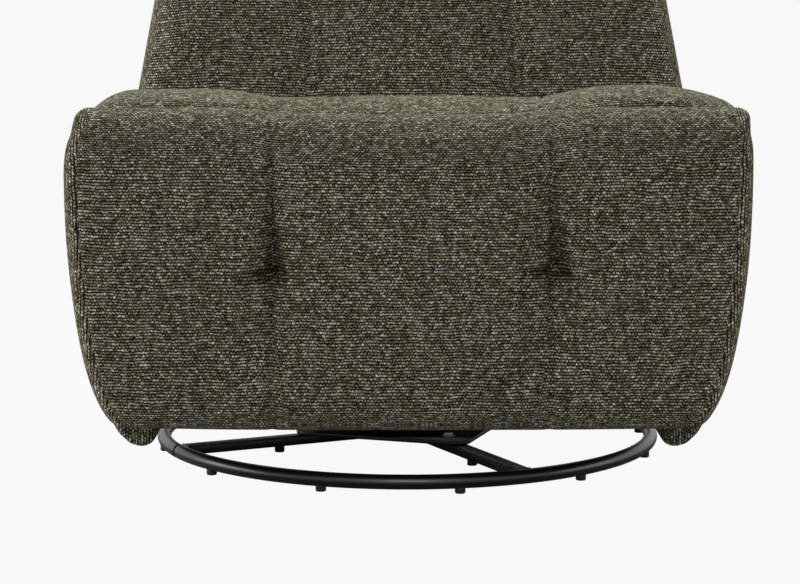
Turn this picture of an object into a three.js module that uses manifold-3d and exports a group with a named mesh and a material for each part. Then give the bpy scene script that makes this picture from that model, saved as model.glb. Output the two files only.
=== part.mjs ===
import * as THREE from 'three';
import { mergeVertices } from 'three/addons/utils/BufferGeometryUtils.js';
import Module from 'manifold-3d';

// A swivel glider recliner without arms, in millimetres, resting on the floor at Z = 0.
// The sitter faces -Y. Left and right are the sitter's, so left is +X.
// The swivel turns about the Z axis. "Forward" in a side view is -Y.

const wasm = await Module();
wasm.setup();

// Angles
const fullTurn = Math.PI * 2;
const halfTurn = Math.PI;
const quarterTurn = Math.PI / 2;
const degree = Math.PI / 180;

// Clearances and cutting
const seatGap = 0.3;
const pinGap = 0.6;
const plateGap = 0.7;
const cutOverrun = 5;

// Overall places
const frontReach = 430;
const bodyHalfWidth = 419.5;
const sideFrameBottom = 70;
const sideFrameTop = 385;

// Floor ring and its feet
const ringRadius = 340;
const ringTubeRadius = 9.5;
const ringTubeSides = 12;
const ringHalfSteps = 30;
const footHeight = 6;
const footRadius = 6.75;
const footEdge = 1.2;
const footCount = 12;
const firstFootTurn = 18.9 * degree;
const ringCentreHeight = footHeight + ringTubeRadius;
const ringTopHeight = ringCentreHeight + ringTubeRadius;

// Flat arms under the centre plate
const longArmTurn = 63.9 * degree;
const armWidth = 22;
const armHeight = 12.5;
const armDrop = 1;
const armFootPlace = 195;
const armTopHeight = ringTopHeight - armDrop;
const armBottomHeight = armTopHeight - armHeight;
const armReach = ringRadius * Math.cos(halfTurn / ringHalfSteps / 2) - ringTubeRadius - seatGap;

// Flat centre plate, its corners over the arms
const centrePlateShare = 0.735;
const centrePlateCorner = 22;
const centrePlateThickness = 6;
const centrePlateSide = ringRadius * centrePlateShare;
const centrePlateTurn = longArmTurn - halfTurn / 4;
const centrePlateBottom = armTopHeight + seatGap;
const centrePlateTop = centrePlateBottom + centrePlateThickness;

// Ball bearing between the centre plate and the swivel plate
const bearingOuterRadius = 64;
const bearingInnerRadius = 40;
const bearingHeight = 8;
const bearingGroove = 2;
const bearingBottom = centrePlateTop + seatGap;

// Swivel plate and the bolt through it
const swivelPlateWidth = 260;
const swivelPlateDepth = 220;
const swivelPlateThickness = 4;
const swivelPlateCorner = 12;
const kingBoltRadius = 6;
const kingBoltHeadRadius = 11;
const kingBoltHeadHeight = 7;
const swivelPlateBottom = bearingBottom + bearingHeight + seatGap;
const swivelPlateTop = swivelPlateBottom + swivelPlateThickness;

// Glide links hang from two upright side plates
const glidePivotSpacing = 300;
const glideLowPivotRise = 30;
const glideLinkLength = 162;
const glideLinkHalfWidth = 13;
const glideLinkThickness = 5;
const glidePlateThickness = 4;
const glidePlateLug = 18;
const glidePinRadius = 5;
const rivetHeadRadius = 9;
const rivetHeadHeight = 2;
const glideLowPivotHeight = sideFrameBottom + glideLowPivotRise;
const glidePivotHeight = glideLowPivotHeight + glideLinkLength;
const glidePlateOuter = swivelPlateWidth / 2;
const glidePlateFoot = swivelPlateDepth / 2 - swivelPlateCorner;
const glidePlateBottom = swivelPlateTop + seatGap;
const glideLinkInner = glidePlateOuter + plateGap + rivetHeadHeight + plateGap;
const glideLinkOuter = glideLinkInner + glideLinkThickness;

// Platform that the links carry
const platformRailThickness = 5;
const platformRailHeight = 34;
const platformBeamWidth = 24;
const platformBeamHeight = 12;
const platformBeamPlace = 245;
const platformRailDrop = 16;
const platformRailInner = glideLinkOuter + plateGap;
const platformRailBottom = glideLowPivotHeight - platformRailDrop;
const platformBeamTop = platformRailBottom - seatGap;
const platformRailHalfLength = platformBeamPlace + platformBeamWidth / 2;

// Footrest panel: a pad over a plywood board
const padTopRise = 102;
const padBottom = 98;
const padThickness = 64;
const padInset = 16.5;
const padTuck = 48;
const padTuckPower = 3;
const padEdgeDraw = 26;
const padTopDip = 8;
const padCornerDrop = 10;
const padTopRound = 8;
const padSectionCrown = 9;
const padCreaseDepth = 5;
const tuftHeight = 295;
const tuftDepth = 15;
const tuftRadius = 46;
const padCells = { x: 24, y: 3, z: 12 };
const boardThickness = 15;
const boardProud = 1.2;
const boardTopInset = 25;
const boardBottomInset = 14;
const boardSideInset = 31;
const boardFootInset = 25;
const padTop = sideFrameTop + padTopRise;
const padHalfWidth = bodyHalfWidth - padInset;
const padFootHalfWidth = padHalfWidth - padTuck;
const padRear = frontReach - padThickness;
const boardTop = padTop - boardTopInset;
const boardBottom = padBottom + boardBottomInset;
const boardHalfWidth = padHalfWidth - boardSideInset;
const boardFootHalfWidth = padFootHalfWidth - boardFootInset;
const boardRear = padRear - boardProud;

// Seat box: side frames, rail and deck
const panelClearance = 4.8;
const sideFrameSetback = 2;
const sideFrameThickness = 15;
const sidePanelThickness = 74.2;
const sideFrameRearStep = 35;
const sideFrameRear = 338;
const sideFrameSlopeStart = 40;
const sideFrameSlopeEnd = 130;
const sideFrameCorner = 30;
const frontRailHeight = 40;
const frontRailThickness = 18;
const deckThickness = 12;
const deckRear = 95;
const sideFrameRearTop = sideFrameTop - sideFrameRearStep;
const seatFront = boardRear - panelClearance;
const sideFrameFront = seatFront - sideFrameSetback;
const sideFrameOuter = bodyHalfWidth - sidePanelThickness - seatGap;
const sideFrameInner = sideFrameOuter - sideFrameThickness;
const railHalfLength = sideFrameInner - seatGap;

// Upholstered side panels
const sidePanelBottom = 67;
const sidePanelFrontOverhang = 3;
const sidePanelTuck = 69.5;
const sidePanelTuckPower = 2.6;
const sidePanelEndDraw = 9;
const sidePanelCells = { x: 2, y: 12, z: 12 };

// Rear panel
const rearPanelThickness = 24;
const rearPanelTopDrop = 5;
const rearPanelBottom = 80;
const rearPanelCrown = 5;
const rearPanelInset = 14;
const rearPanelCells = { x: 10, y: 1, z: 6 };
const rearPanelTop = sideFrameRearTop - rearPanelTopDrop;

// Seat cushion in three sewn sections
const seatRear = 50;
const seatFrontThickness = 107;
const seatRearThickness = 68;
const seatMiddleCrown = 12;
const seatOuterCrown = 21;
const seamOffset = 169;
const seatTopSideDraw = 43;
const seatNoseDraw = 24;
const seatSideFall = 16;
const seatCells = { x: 24, y: 12, z: 4 };

// Back in its own frame: it leans about the hinge line
const backHingePlace = 185;
const backHingeDrop = 30;
const backLean = 18 * degree;
const backCushionFront = 141.7;
const backCushionThickness = 120;
const backCushionTop = 694;
const backCushionRise = 15;
const backBottomInset = 3.5;
const backTaper = 106;
const backSeamShare = 0.38;
const backSectionCrown = 18;
const backEdgeDraw = 20;
const backTopDraw = 34;
const backCells = { x: 24, y: 3, z: 14 };
const backFrameThickness = 30;
const backFrameLow = 56;
const backFrameHigh = 660;
const backHingeSpace = 11.7;
const backFrameTopInset = 48;
const backFrameShoulder = 206;
const backCoverThickness = 29;
const backCoverLow = 98;
const backCoverHigh = 672.5;
const backCoverInset = 16;
const backCoverCrown = 7;
const backCoverCells = { x: 12, y: 1, z: 8 };
const backBracketThickness = 5;
const backBracketEyeRadius = 16;
const backBracketHigh = 170;
const hingePinRadius = 6;
const backHingeHeight = sideFrameRearTop - backHingeDrop;
const backCushionBottomHeight = sideFrameTop + backCushionRise;
const backBottomHalfWidth = bodyHalfWidth - backBottomInset;
const backTopHalfWidth = backBottomHalfWidth - backTaper;
const backFrameHalfWidth = sideFrameInner - backHingeSpace;
const backFrameTopHalfWidth = backTopHalfWidth - backFrameTopInset;
const backFrameFront = -backCushionFront + backCushionThickness + seatGap;
const backFrameRear = backFrameFront + backFrameThickness;
const backBracketInner = backFrameHalfWidth + seatGap;

// Footrest bars in the side view, each pair beside the frames
const footrestPivotBack = 84;
const footrestPivotDrop = 69;
const barBLength = 182;
const barAExtra = 7;
const barBTail = 36;
const barCPivotStep = 30;
const barDShare = 0.75;
const bracketReach = 30;
const bracketDrop = 187;
const bracketUpperPivot = 50;
const barHalfWidth = 10;
const barThickness = 4.5;
const barPinRadius = 5;
const mountHeight = 78;
const mountLength = 78;
const torqueTubeRadius = 10;
const bracketFlange = 25;
const bracketFlangeThickness = 3;
const bracketMargin = 14;
const footrestPivotHeight = sideFrameTop - footrestPivotDrop;
const barALength = barBLength + barAExtra;
const barPitch = barThickness + plateGap;
const mountInner = sideFrameInner - seatGap - barThickness;
const barDInner = mountInner - plateGap - barThickness;
const barAInner = barDInner - barPitch;
const barBInner = barAInner - barPitch;
const barCInner = barBInner - barPitch;

// Release lever on the sitter's right side
const leverPivotPlace = 20;
const leverPivotHeight = 172;
const leverLength = 84;
const leverHalfWidth = 13;
const leverTipHalfWidth = 16;
const leverThickness = 7;
const leverShaftRadius = 7;
const leverInset = 2;
const leverOuter = bodyHalfWidth - leverInset;

// How sharply the padded shapes turn in at their edges: a higher power turns later
const softPower = 3;
const shoulderPower = 4;
const nosePower = 6;
const edgePower = 8;
const cornerPower = 10;
const rimPower = 12;

// Number of sides of round pieces
const smallRoundSides = 12;
const largeRoundSides = 40;
const arcSteps = 6;
const hexSides = 6;

// Materials
function material(color, roughness, metalness) {
  return new THREE.MeshStandardMaterial({ color, roughness, metalness });
}
const looks = {
  blackSteel: () => material(0x17181a, 0.38, 0.6),
  zincSteel: () => material(0x8f9396, 0.42, 0.85),
  rubber: () => material(0x141414, 0.8, 0),
  plywood: () => material(0xb08a5b, 0.75, 0),
  fabric: () => material(0x454339, 0.95, 0),
};

// Joining and cutting
function solidOf(geometry) {
  const bare = geometry.clone();
  bare.deleteAttribute('normal');
  bare.deleteAttribute('uv');
  const merged = mergeVertices(bare);
  const vertProperties = new Float32Array(merged.attributes.position.array);
  const triVerts = new Uint32Array(merged.index.array);
  return new wasm.Manifold(new wasm.Mesh({ numProp: 3, vertProperties, triVerts }));
}

function geometryOf(body) {
  const mesh = body.getMesh();
  const geometry = new THREE.BufferGeometry();
  geometry.setAttribute('position', new THREE.BufferAttribute(mesh.vertProperties, 3));
  geometry.setIndex(new THREE.BufferAttribute(mesh.triVerts, 1));
  geometry.computeVertexNormals();
  return geometry;
}

function join(...geometries) {
  const [first, ...others] = geometries.map(solidOf);
  return geometryOf(others.reduce((body, other) => body.add(other), first));
}

function cut(geometry, ...cutters) {
  const whole = solidOf(geometry);
  return geometryOf(cutters.map(solidOf).reduce((body, cutter) => body.subtract(cutter), whole));
}

// A rounded rectangle in the XY plane
function roundedRectangle(width, height, corner) {
  const right = width / 2;
  const top = height / 2;
  const shape = new THREE.Shape();
  shape.absarc(right - corner, top - corner, corner, 0, quarterTurn, false);
  shape.absarc(corner - right, top - corner, corner, quarterTurn, halfTurn, false);
  shape.absarc(corner - right, corner - top, corner, halfTurn, halfTurn + quarterTurn, false);
  shape.absarc(right - corner, corner - top, corner, halfTurn + quarterTurn, fullTurn, false);
  shape.closePath();
  return shape;
}

function extrude(shape, depth) {
  return new THREE.ExtrudeGeometry(shape, { depth, bevelEnabled: false, curveSegments: arcSteps });
}

// Turns a flat shape into a plate in the side view: shape X runs forward, shape Y runs up.
// The plate fills inner to inner + thickness on the side that it is made for.
function sidePlate(shape, side, inner, thickness) {
  const plate = extrude(shape, thickness);
  const basis = new THREE.Matrix4().makeBasis(
    new THREE.Vector3(0, -1, 0),
    new THREE.Vector3(0, 0, 1),
    new THREE.Vector3(-1, 0, 0),
  );
  plate.applyMatrix4(basis);
  plate.translate(side > 0 ? inner + thickness : -inner, 0, 0);
  return plate;
}

// A pin along X from inner to outer on one side, at a place in the side view
function sidePin(side, inner, outer, radius, forward, up) {
  const pin = new THREE.CylinderGeometry(radius, radius, outer - inner, smallRoundSides);
  pin.rotateZ(quarterTurn);
  pin.translate(side * (inner + outer) / 2, -forward, up);
  return pin;
}

// A flat bar with round ends and a hole at each given place along it
function barShape(from, to, halfWidth, holePlaces, holeRadius) {
  const shape = new THREE.Shape();
  shape.absarc(to, 0, halfWidth, -quarterTurn, quarterTurn, false);
  shape.absarc(from, 0, halfWidth, quarterTurn, halfTurn + quarterTurn, false);
  shape.closePath();
  for (const place of holePlaces) {
    const hole = new THREE.Path();
    hole.absarc(place, 0, holeRadius, 0, fullTurn, true);
    shape.holes.push(hole);
  }
  return shape;
}

// A box of cells whose points are moved by a shaping rule.
// The rule gets each point's shares of the half sizes, from -1 to 1, and returns the point.
function paddedSolid(cells, rule) {
  const unit = new THREE.BoxGeometry(2, 2, 2, cells.x, cells.y, cells.z);
  unit.deleteAttribute('normal');
  unit.deleteAttribute('uv');
  const geometry = mergeVertices(unit);
  const points = geometry.attributes.position;
  const share = new THREE.Vector3();
  for (let index = 0; index < points.count; index += 1) {
    share.fromBufferAttribute(points, index);
    const place = rule(share);
    points.setXYZ(index, place.x, place.y, place.z);
  }
  geometry.computeVertexNormals();
  return geometry;
}

// Where a share across three sections falls, and how full its section is there.
// Cells crowd towards the seams, so the channels come out sharp.
const sectionCount = 3;
const seamCrowding = 0.45;
const sectionPower = 3;
function sectionAt(share, seamShare) {
  const scaled = Math.abs(share) * sectionCount;
  const outer = scaled > 1;
  const along = outer ? (scaled - 1) / 2 : (scaled + 1) / 2;
  const eased = along - seamCrowding * Math.sin(fullTurn * along) / fullTurn;
  const across = outer ? seamShare + (1 - seamShare) * eased : seamShare * (2 * eased - 1);
  const full = 1 - Math.abs(2 * eased - 1) ** sectionPower;
  const inside = outer && eased > 0.5 ? 1 : full;
  return { across: Math.sign(share) * across, full: inside, outer };
}

const model = new THREE.Group();
const sides = [
  { side: 1, word: 'left' },
  { side: -1, word: 'right' },
];

function add(parent, name, geometry, look) {
  const mesh = new THREE.Mesh(geometry, look());
  mesh.name = name;
  parent.add(mesh);
  return mesh;
}

// Places on the floor: a turn is measured from +X towards the front
function onFloor(radius, turn, height) {
  return new THREE.Vector3(radius * Math.cos(turn), -radius * Math.sin(turn), height);
}

// Base
class RingArc extends THREE.Curve {
  constructor(startTurn, endTurn) {
    super();
    this.startTurn = startTurn;
    this.endTurn = endTurn;
  }

  getPoint(share) {
    const turn = this.startTurn + (this.endTurn - this.startTurn) * share;
    return onFloor(ringRadius, turn, ringCentreHeight);
  }
}

function addRing() {
  const jointTurn = longArmTurn + quarterTurn;
  const halfGapTurn = seatGap / 2 / ringRadius;
  const halves = [
    { name: 'ring_front', start: jointTurn - halfTurn },
    { name: 'ring_rear', start: jointTurn },
  ];
  for (const { name, start } of halves) {
    const section = new THREE.Shape();
    section.absarc(0, 0, ringTubeRadius, 0, fullTurn, false);
    const tube = new THREE.ExtrudeGeometry(section, {
      steps: ringHalfSteps,
      curveSegments: ringTubeSides / 2,
      extrudePath: new RingArc(start + halfGapTurn, start + halfTurn - halfGapTurn),
    });
    add(model, name, tube, looks.blackSteel);
  }
}

function addFeet() {
  const top = footHeight - seatGap;
  const profile = [
    new THREE.Vector2(0, 0),
    new THREE.Vector2(footRadius - footEdge, 0),
    new THREE.Vector2(footRadius, footEdge),
    new THREE.Vector2(footRadius, top),
    new THREE.Vector2(0, top),
  ];
  for (let index = 0; index < footCount; index += 1) {
    const foot = new THREE.LatheGeometry(profile, smallRoundSides);
    foot.rotateX(quarterTurn);
    const number = String(index + 1).padStart(2, '0');
    const mesh = add(model, `ring_foot_${number}`, foot, looks.rubber);
    mesh.position.copy(onFloor(ringRadius, firstFootTurn + index * fullTurn / footCount, 0));
  }
}

function armBar(from, to, footPlaces) {
  const bar = new THREE.BoxGeometry(to - from, armWidth, armHeight);
  bar.translate((from + to) / 2, 0, armBottomHeight + armHeight / 2);
  const footTop = armBottomHeight + armHeight / 2;
  const feet = footPlaces.map((place) => {
    const foot = new THREE.CylinderGeometry(footRadius, footRadius, footTop, smallRoundSides);
    foot.rotateX(quarterTurn);
    foot.translate(place, 0, footTop / 2);
    return foot;
  });
  return join(bar, ...feet);
}

function addArms() {
  const longBar = armBar(-armReach, armReach, [-armFootPlace, armFootPlace]);
  const long = add(model, 'arm_long', longBar, looks.blackSteel);
  long.rotation.z = -longArmTurn;
  const shortStart = armWidth / 2 + seatGap;
  for (const { side, word } of sides) {
    const bar = armBar(shortStart, armReach, [armFootPlace]);
    const short = add(model, `arm_short_${word}`, bar, looks.blackSteel);
    short.rotation.z = -(longArmTurn + side * -quarterTurn);
  }
}

function addCentrePlate() {
  const outline = roundedRectangle(centrePlateSide, centrePlateSide, centrePlateCorner);
  const plate = add(model, 'centre_plate', extrude(outline, centrePlateThickness), looks.blackSteel);
  plate.position.z = centrePlateBottom;
  plate.rotation.z = -centrePlateTurn;
}

function addBearing() {
  const middle = bearingHeight / 2;
  const profile = [
    new THREE.Vector2(bearingInnerRadius, 0),
    new THREE.Vector2(bearingOuterRadius, 0),
    new THREE.Vector2(bearingOuterRadius, middle - bearingGroove / 2),
    new THREE.Vector2(bearingOuterRadius - bearingGroove, middle),
    new THREE.Vector2(bearingOuterRadius, middle + bearingGroove / 2),
    new THREE.Vector2(bearingOuterRadius, bearingHeight),
    new THREE.Vector2(bearingInnerRadius, bearingHeight),
    new THREE.Vector2(bearingInnerRadius, 0),
  ];
  const ring = new THREE.LatheGeometry(profile, largeRoundSides);
  ring.rotateX(quarterTurn);
  add(model, 'bearing_ring', ring, looks.zincSteel).position.z = bearingBottom;
}

function addKingBolt() {
  const headBottom = swivelPlateTop + seatGap;
  const shankHeight = headBottom - bearingBottom + kingBoltHeadHeight / 2;
  const shank = new THREE.CylinderGeometry(kingBoltRadius, kingBoltRadius, shankHeight, smallRoundSides);
  shank.rotateX(quarterTurn);
  shank.translate(0, 0, bearingBottom + shankHeight / 2);
  const headRadius = kingBoltHeadRadius;
  const head = new THREE.CylinderGeometry(headRadius, headRadius, kingBoltHeadHeight, hexSides);
  head.rotateX(quarterTurn);
  head.translate(0, 0, headBottom + kingBoltHeadHeight / 2);
  add(model, 'king_bolt', join(shank, head), looks.zincSteel);
}

// Swivel
function addSwivelPlate(swivel) {
  const outline = roundedRectangle(swivelPlateWidth, swivelPlateDepth, swivelPlateCorner);
  const hole = new THREE.Path();
  hole.absarc(0, 0, kingBoltRadius + pinGap, 0, fullTurn, true);
  outline.holes.push(hole);
  const plate = add(swivel, 'swivel_plate', extrude(outline, swivelPlateThickness), looks.blackSteel);
  plate.position.z = swivelPlateBottom;
}

function addGlidePlates(swivel) {
  const half = glidePivotSpacing / 2;
  for (const { side, word } of sides) {
    const shape = new THREE.Shape();
    shape.moveTo(-glidePlateFoot, glidePlateBottom);
    shape.lineTo(glidePlateFoot, glidePlateBottom);
    shape.absarc(half, glidePivotHeight, glidePlateLug, 0, quarterTurn, false);
    shape.absarc(-half, glidePivotHeight, glidePlateLug, quarterTurn, halfTurn, false);
    shape.closePath();
    const plate = sidePlate(shape, side, glidePlateOuter - glidePlateThickness, glidePlateThickness);
    const pins = [-half, half].flatMap((place) => {
      const pinEnd = glideLinkOuter + plateGap;
      const root = glidePlateOuter - glidePlateThickness / 2;
      return [
        sidePin(side, root, pinEnd + rivetHeadHeight / 2, glidePinRadius, place, glidePivotHeight),
        sidePin(side, pinEnd, pinEnd + rivetHeadHeight, rivetHeadRadius, place, glidePivotHeight),
      ];
    });
    add(swivel, `glide_plate_${word}`, join(plate, ...pins), looks.blackSteel);
  }
}

// Glide links, each hanging from its own pivot
function addGlideLinks(swivel) {
  const ends = [
    { word: 'front', forward: glidePivotSpacing / 2 },
    { word: 'rear', forward: -glidePivotSpacing / 2 },
  ];
  const holes = [0, glideLinkLength];
  for (const end of ends) {
    for (const { side, word } of sides) {
      const shape = barShape(0, glideLinkLength, glideLinkHalfWidth, holes, glidePinRadius + pinGap);
      const bar = sidePlate(shape, side, glideLinkInner, glideLinkThickness);
      const link = add(swivel, `glide_link_${end.word}_${word}`, bar, looks.zincSteel);
      link.position.set(0, -end.forward, glidePivotHeight);
      link.rotation.x = quarterTurn;
    }
  }
}

// Platform and seat box
function addPlatform(seat) {
  for (const { side, word } of sides) {
    const rail = new THREE.BoxGeometry(platformRailThickness, 2 * platformRailHalfLength, platformRailHeight);
    const across = side * (platformRailInner + platformRailThickness / 2);
    rail.translate(across, 0, platformRailBottom + platformRailHeight / 2);
    const pins = [-glidePivotSpacing / 2, glidePivotSpacing / 2].flatMap((place) => {
      const pinEnd = glideLinkInner - plateGap;
      const root = platformRailInner + platformRailThickness / 2;
      return [
        sidePin(side, pinEnd - rivetHeadHeight / 2, root, glidePinRadius, place, glideLowPivotHeight),
        sidePin(side, pinEnd - rivetHeadHeight, pinEnd, rivetHeadRadius, place, glideLowPivotHeight),
      ];
    });
    add(seat, `platform_rail_${word}`, join(rail, ...pins), looks.blackSteel);
  }
  for (const [word, direction] of [['front', -1], ['rear', 1]]) {
    const beam = new THREE.BoxGeometry(2 * railHalfLength, platformBeamWidth, platformBeamHeight);
    const mesh = add(seat, `platform_beam_${word}`, beam, looks.blackSteel);
    mesh.position.set(0, direction * platformBeamPlace, platformBeamTop - platformBeamHeight / 2);
  }
}

function roundHole(shape, forward, up, radius) {
  const hole = new THREE.Path();
  hole.absarc(forward, up, radius, 0, fullTurn, true);
  shape.holes.push(hole);
}

function addSideFrames(seat) {
  for (const { side, word } of sides) {
    const shape = new THREE.Shape();
    shape.moveTo(-sideFrameRear, sideFrameBottom);
    shape.lineTo(sideFrameFront - sideFrameCorner, sideFrameBottom);
    shape.lineTo(sideFrameFront, sideFrameBottom + sideFrameCorner);
    shape.lineTo(sideFrameFront, sideFrameTop);
    shape.lineTo(-sideFrameSlopeStart, sideFrameTop);
    shape.lineTo(-sideFrameSlopeEnd, sideFrameRearTop);
    shape.lineTo(-sideFrameRear, sideFrameRearTop);
    shape.closePath();
    roundHole(shape, -backHingePlace, backHingeHeight, hingePinRadius + pinGap);
    if (side < 0) {
      roundHole(shape, leverPivotPlace, leverPivotHeight, leverShaftRadius + pinGap);
    }
    const frame = sidePlate(shape, side, sideFrameInner, sideFrameThickness);
    add(seat, `side_frame_${word}`, frame, looks.plywood);
  }
}

function addRailAndDeck(seat) {
  const rail = new THREE.BoxGeometry(2 * railHalfLength, frontRailThickness, frontRailHeight);
  const railMesh = add(seat, 'front_rail', rail, looks.plywood);
  const deckTop = sideFrameTop;
  railMesh.position.set(0, frontRailThickness / 2 - sideFrameFront, deckTop - frontRailHeight / 2);
  const deckFront = frontRailThickness - sideFrameFront + seatGap;
  const deck = new THREE.BoxGeometry(2 * railHalfLength, deckRear - deckFront, deckThickness);
  const deckMesh = add(seat, 'seat_deck', deck, looks.plywood);
  deckMesh.position.set(0, (deckRear + deckFront) / 2, deckTop - deckThickness / 2);
}

// The side panels tuck in towards the floor
function sideHalfWidth(heightShare) {
  return bodyHalfWidth - sidePanelTuck * (1 - heightShare) ** sidePanelTuckPower;
}

function addSidePanels(seat) {
  const front = -sideFrameFront - sidePanelFrontOverhang;
  const inner = sideFrameOuter + seatGap;
  const slopeLength = sideFrameSlopeEnd - sideFrameSlopeStart;
  for (const { side, word } of sides) {
    const panel = paddedSolid(sidePanelCells, (share) => {
      const along = (share.y + 1) / 2;
      const up = (share.z + 1) / 2;
      const y = front + (sideFrameRear - front) * along;
      const slope = THREE.MathUtils.clamp((y - sideFrameSlopeStart) / slopeLength, 0, 1);
      const top = sideFrameTop + (sideFrameRearTop - sideFrameTop) * slope;
      const z = sidePanelBottom + (top - sidePanelBottom) * up;
      const fullHeight = (z - sidePanelBottom) / (sideFrameTop - sidePanelBottom);
      const outer = sideHalfWidth(fullHeight) - sidePanelEndDraw * share.y ** edgePower * up;
      const outward = share.x * side > 0 ? 1 : 0;
      const middle = share.x === 0 ? 0.5 : outward;
      return { x: side * (inner + (outer - inner) * middle), y, z };
    });
    const bore = sidePin(side, inner - cutOverrun, bodyHalfWidth + cutOverrun, leverShaftRadius + pinGap,
      leverPivotPlace, leverPivotHeight);
    add(seat, `side_panel_${word}`, side < 0 ? cut(panel, bore) : panel, looks.fabric);
  }
}

function addRearPanel(seat) {
  const inner = sideFrameRear + seatGap;
  const panel = paddedSolid(rearPanelCells, (share) => {
    const z = rearPanelBottom + (rearPanelTop - rearPanelBottom) * (share.z + 1) / 2;
    const heightShare = (z - sidePanelBottom) / (sideFrameTop - sidePanelBottom);
    const halfWidth = sideHalfWidth(heightShare) - rearPanelInset;
    const edge = Math.max(share.x ** nosePower, share.z ** nosePower);
    const outer = share.y > 0 ? rearPanelThickness - rearPanelCrown * edge : 0;
    return { x: halfWidth * share.x, y: inner + outer, z };
  });
  add(seat, 'rear_panel', panel, looks.fabric);
}

function addSeatCushion(seat) {
  const bottom = sideFrameTop + seatGap;
  const seamShare = seamOffset / bodyHalfWidth;
  const cushion = paddedSolid(seatCells, (share) => {
    const section = sectionAt(share.x, seamShare);
    const up = (share.z + 1) / 2;
    const back = (share.y + 1) / 2;
    const thickness = seatFrontThickness + (seatRearThickness - seatFrontThickness) * back;
    const crown = section.outer ? seatOuterCrown : seatMiddleCrown;
    const sideFall = seatSideFall * section.across ** rimPower;
    const nose = Math.max(0, -share.y) ** nosePower;
    const rise = thickness + crown * section.full - sideFall - seatNoseDraw * nose / 2;
    const front = -seatFront + seatNoseDraw * up ** softPower;
    const rear = seatRear + Math.tan(backLean) * thickness * up;
    const halfWidth = bodyHalfWidth - seatTopSideDraw * up ** shoulderPower;
    return {
      x: halfWidth * section.across,
      y: front + (rear - front) * back,
      z: bottom + rise * up,
    };
  });
  add(seat, 'seat_cushion', cushion, looks.fabric);
}

// Back, built about its hinge line
function backHalfWidth(height) {
  return backBottomHalfWidth - backTaper * height / backCushionTop;
}

function frameHalfWidth(height) {
  const taper = Math.max(0, (height - backFrameShoulder) / (backFrameHigh - backFrameShoulder));
  return backFrameHalfWidth + (backFrameTopHalfWidth - backFrameHalfWidth) * taper;
}

function addBack(back) {
  const frame = new THREE.Shape();
  frame.moveTo(-backFrameHalfWidth, backFrameLow);
  frame.lineTo(backFrameHalfWidth, backFrameLow);
  frame.lineTo(backFrameHalfWidth, backFrameShoulder);
  frame.lineTo(backFrameTopHalfWidth, backFrameHigh);
  frame.lineTo(-backFrameTopHalfWidth, backFrameHigh);
  frame.lineTo(-backFrameHalfWidth, backFrameShoulder);
  frame.closePath();
  const board = extrude(frame, backFrameThickness);
  board.rotateX(quarterTurn);
  board.translate(0, backFrameRear, 0);
  add(back, 'back_frame', board, looks.plywood);

  const cushion = paddedSolid(backCells, (share) => {
    const section = sectionAt(share.x, backSeamShare);
    const rear = (share.y + 1) / 2;
    const depth = backCushionThickness * rear - backCushionFront;
    const raised = backCushionBottomHeight - backHingeHeight;
    const low = (raised + depth * Math.sin(backLean)) / Math.cos(backLean);
    const up = (share.z + 1) / 2;
    const topEdge = backTopDraw * (section.across ** shoulderPower + (2 * rear - 1) ** 2) / 2;
    const high = backCushionTop - topEdge;
    const z = low + (high - low) * up;
    const edge = backEdgeDraw * (2 * rear - 1) ** 2 + backTopDraw * up ** cornerPower / 2;
    const channel = backSectionCrown * (1 - section.full);
    const shares = [section.across, up, 1 - up];
    const ends = backEdgeDraw * Math.max(...shares.map((value) => value ** rimPower));
    return {
      x: (backHalfWidth(z) - edge) * section.across,
      y: depth + (channel + ends) * (1 - rear) ** 2,
      z,
    };
  });
  add(back, 'back_cushion', cushion, looks.fabric);

  // The cover's outermost cells wrap forward round the frame to the cushion
  const innerShare = 1 - 2 / backCoverCells.x;
  const wrapStart = backFrameHigh + seatGap;
  const cover = paddedSolid(backCoverCells, (share) => {
    const rise = (share.z + 1) / 2 / (1 - 1 / backCoverCells.z);
    const z = share.z < 1 ? backCoverLow + (wrapStart - backCoverLow) * rise : backCoverHigh;
    const edge = Math.abs(share.x) === 1;
    const outerHalf = backHalfWidth(z) - backCoverInset;
    const frameHalf = frameHalfWidth(z) + backBracketThickness + 2 * seatGap;
    const x = edge ? Math.sign(share.x) * outerHalf : frameHalf * share.x / innerShare;
    const crown = backCoverCrown * (1 - Math.max(share.x ** edgePower, share.z ** edgePower));
    const inner = edge || share.z === 1 ? backFrameFront : backFrameRear + seatGap;
    const outer = backFrameRear + seatGap + backCoverThickness + crown;
    return { x, y: share.y > 0 ? outer : inner, z };
  });
  add(back, 'back_cover', cover, looks.fabric);

  for (const { side, word } of sides) {
    const shape = new THREE.Shape();
    shape.absarc(0, 0, backBracketEyeRadius, halfTurn, fullTurn, false);
    shape.lineTo(-backFrameFront, backFrameLow);
    shape.lineTo(-backFrameFront, backBracketHigh);
    shape.lineTo(-backFrameRear, backBracketHigh);
    shape.lineTo(-backFrameRear, backFrameLow);
    shape.closePath();
    const plate = sidePlate(shape, side, backBracketInner, backBracketThickness);
    const root = backBracketInner + backBracketThickness / 2;
    const pin = sidePin(side, root, sideFrameOuter - seatGap, hingePinRadius, 0, 0);
    add(back, `back_bracket_${word}`, join(plate, pin), looks.zincSteel);
  }
}

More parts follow.
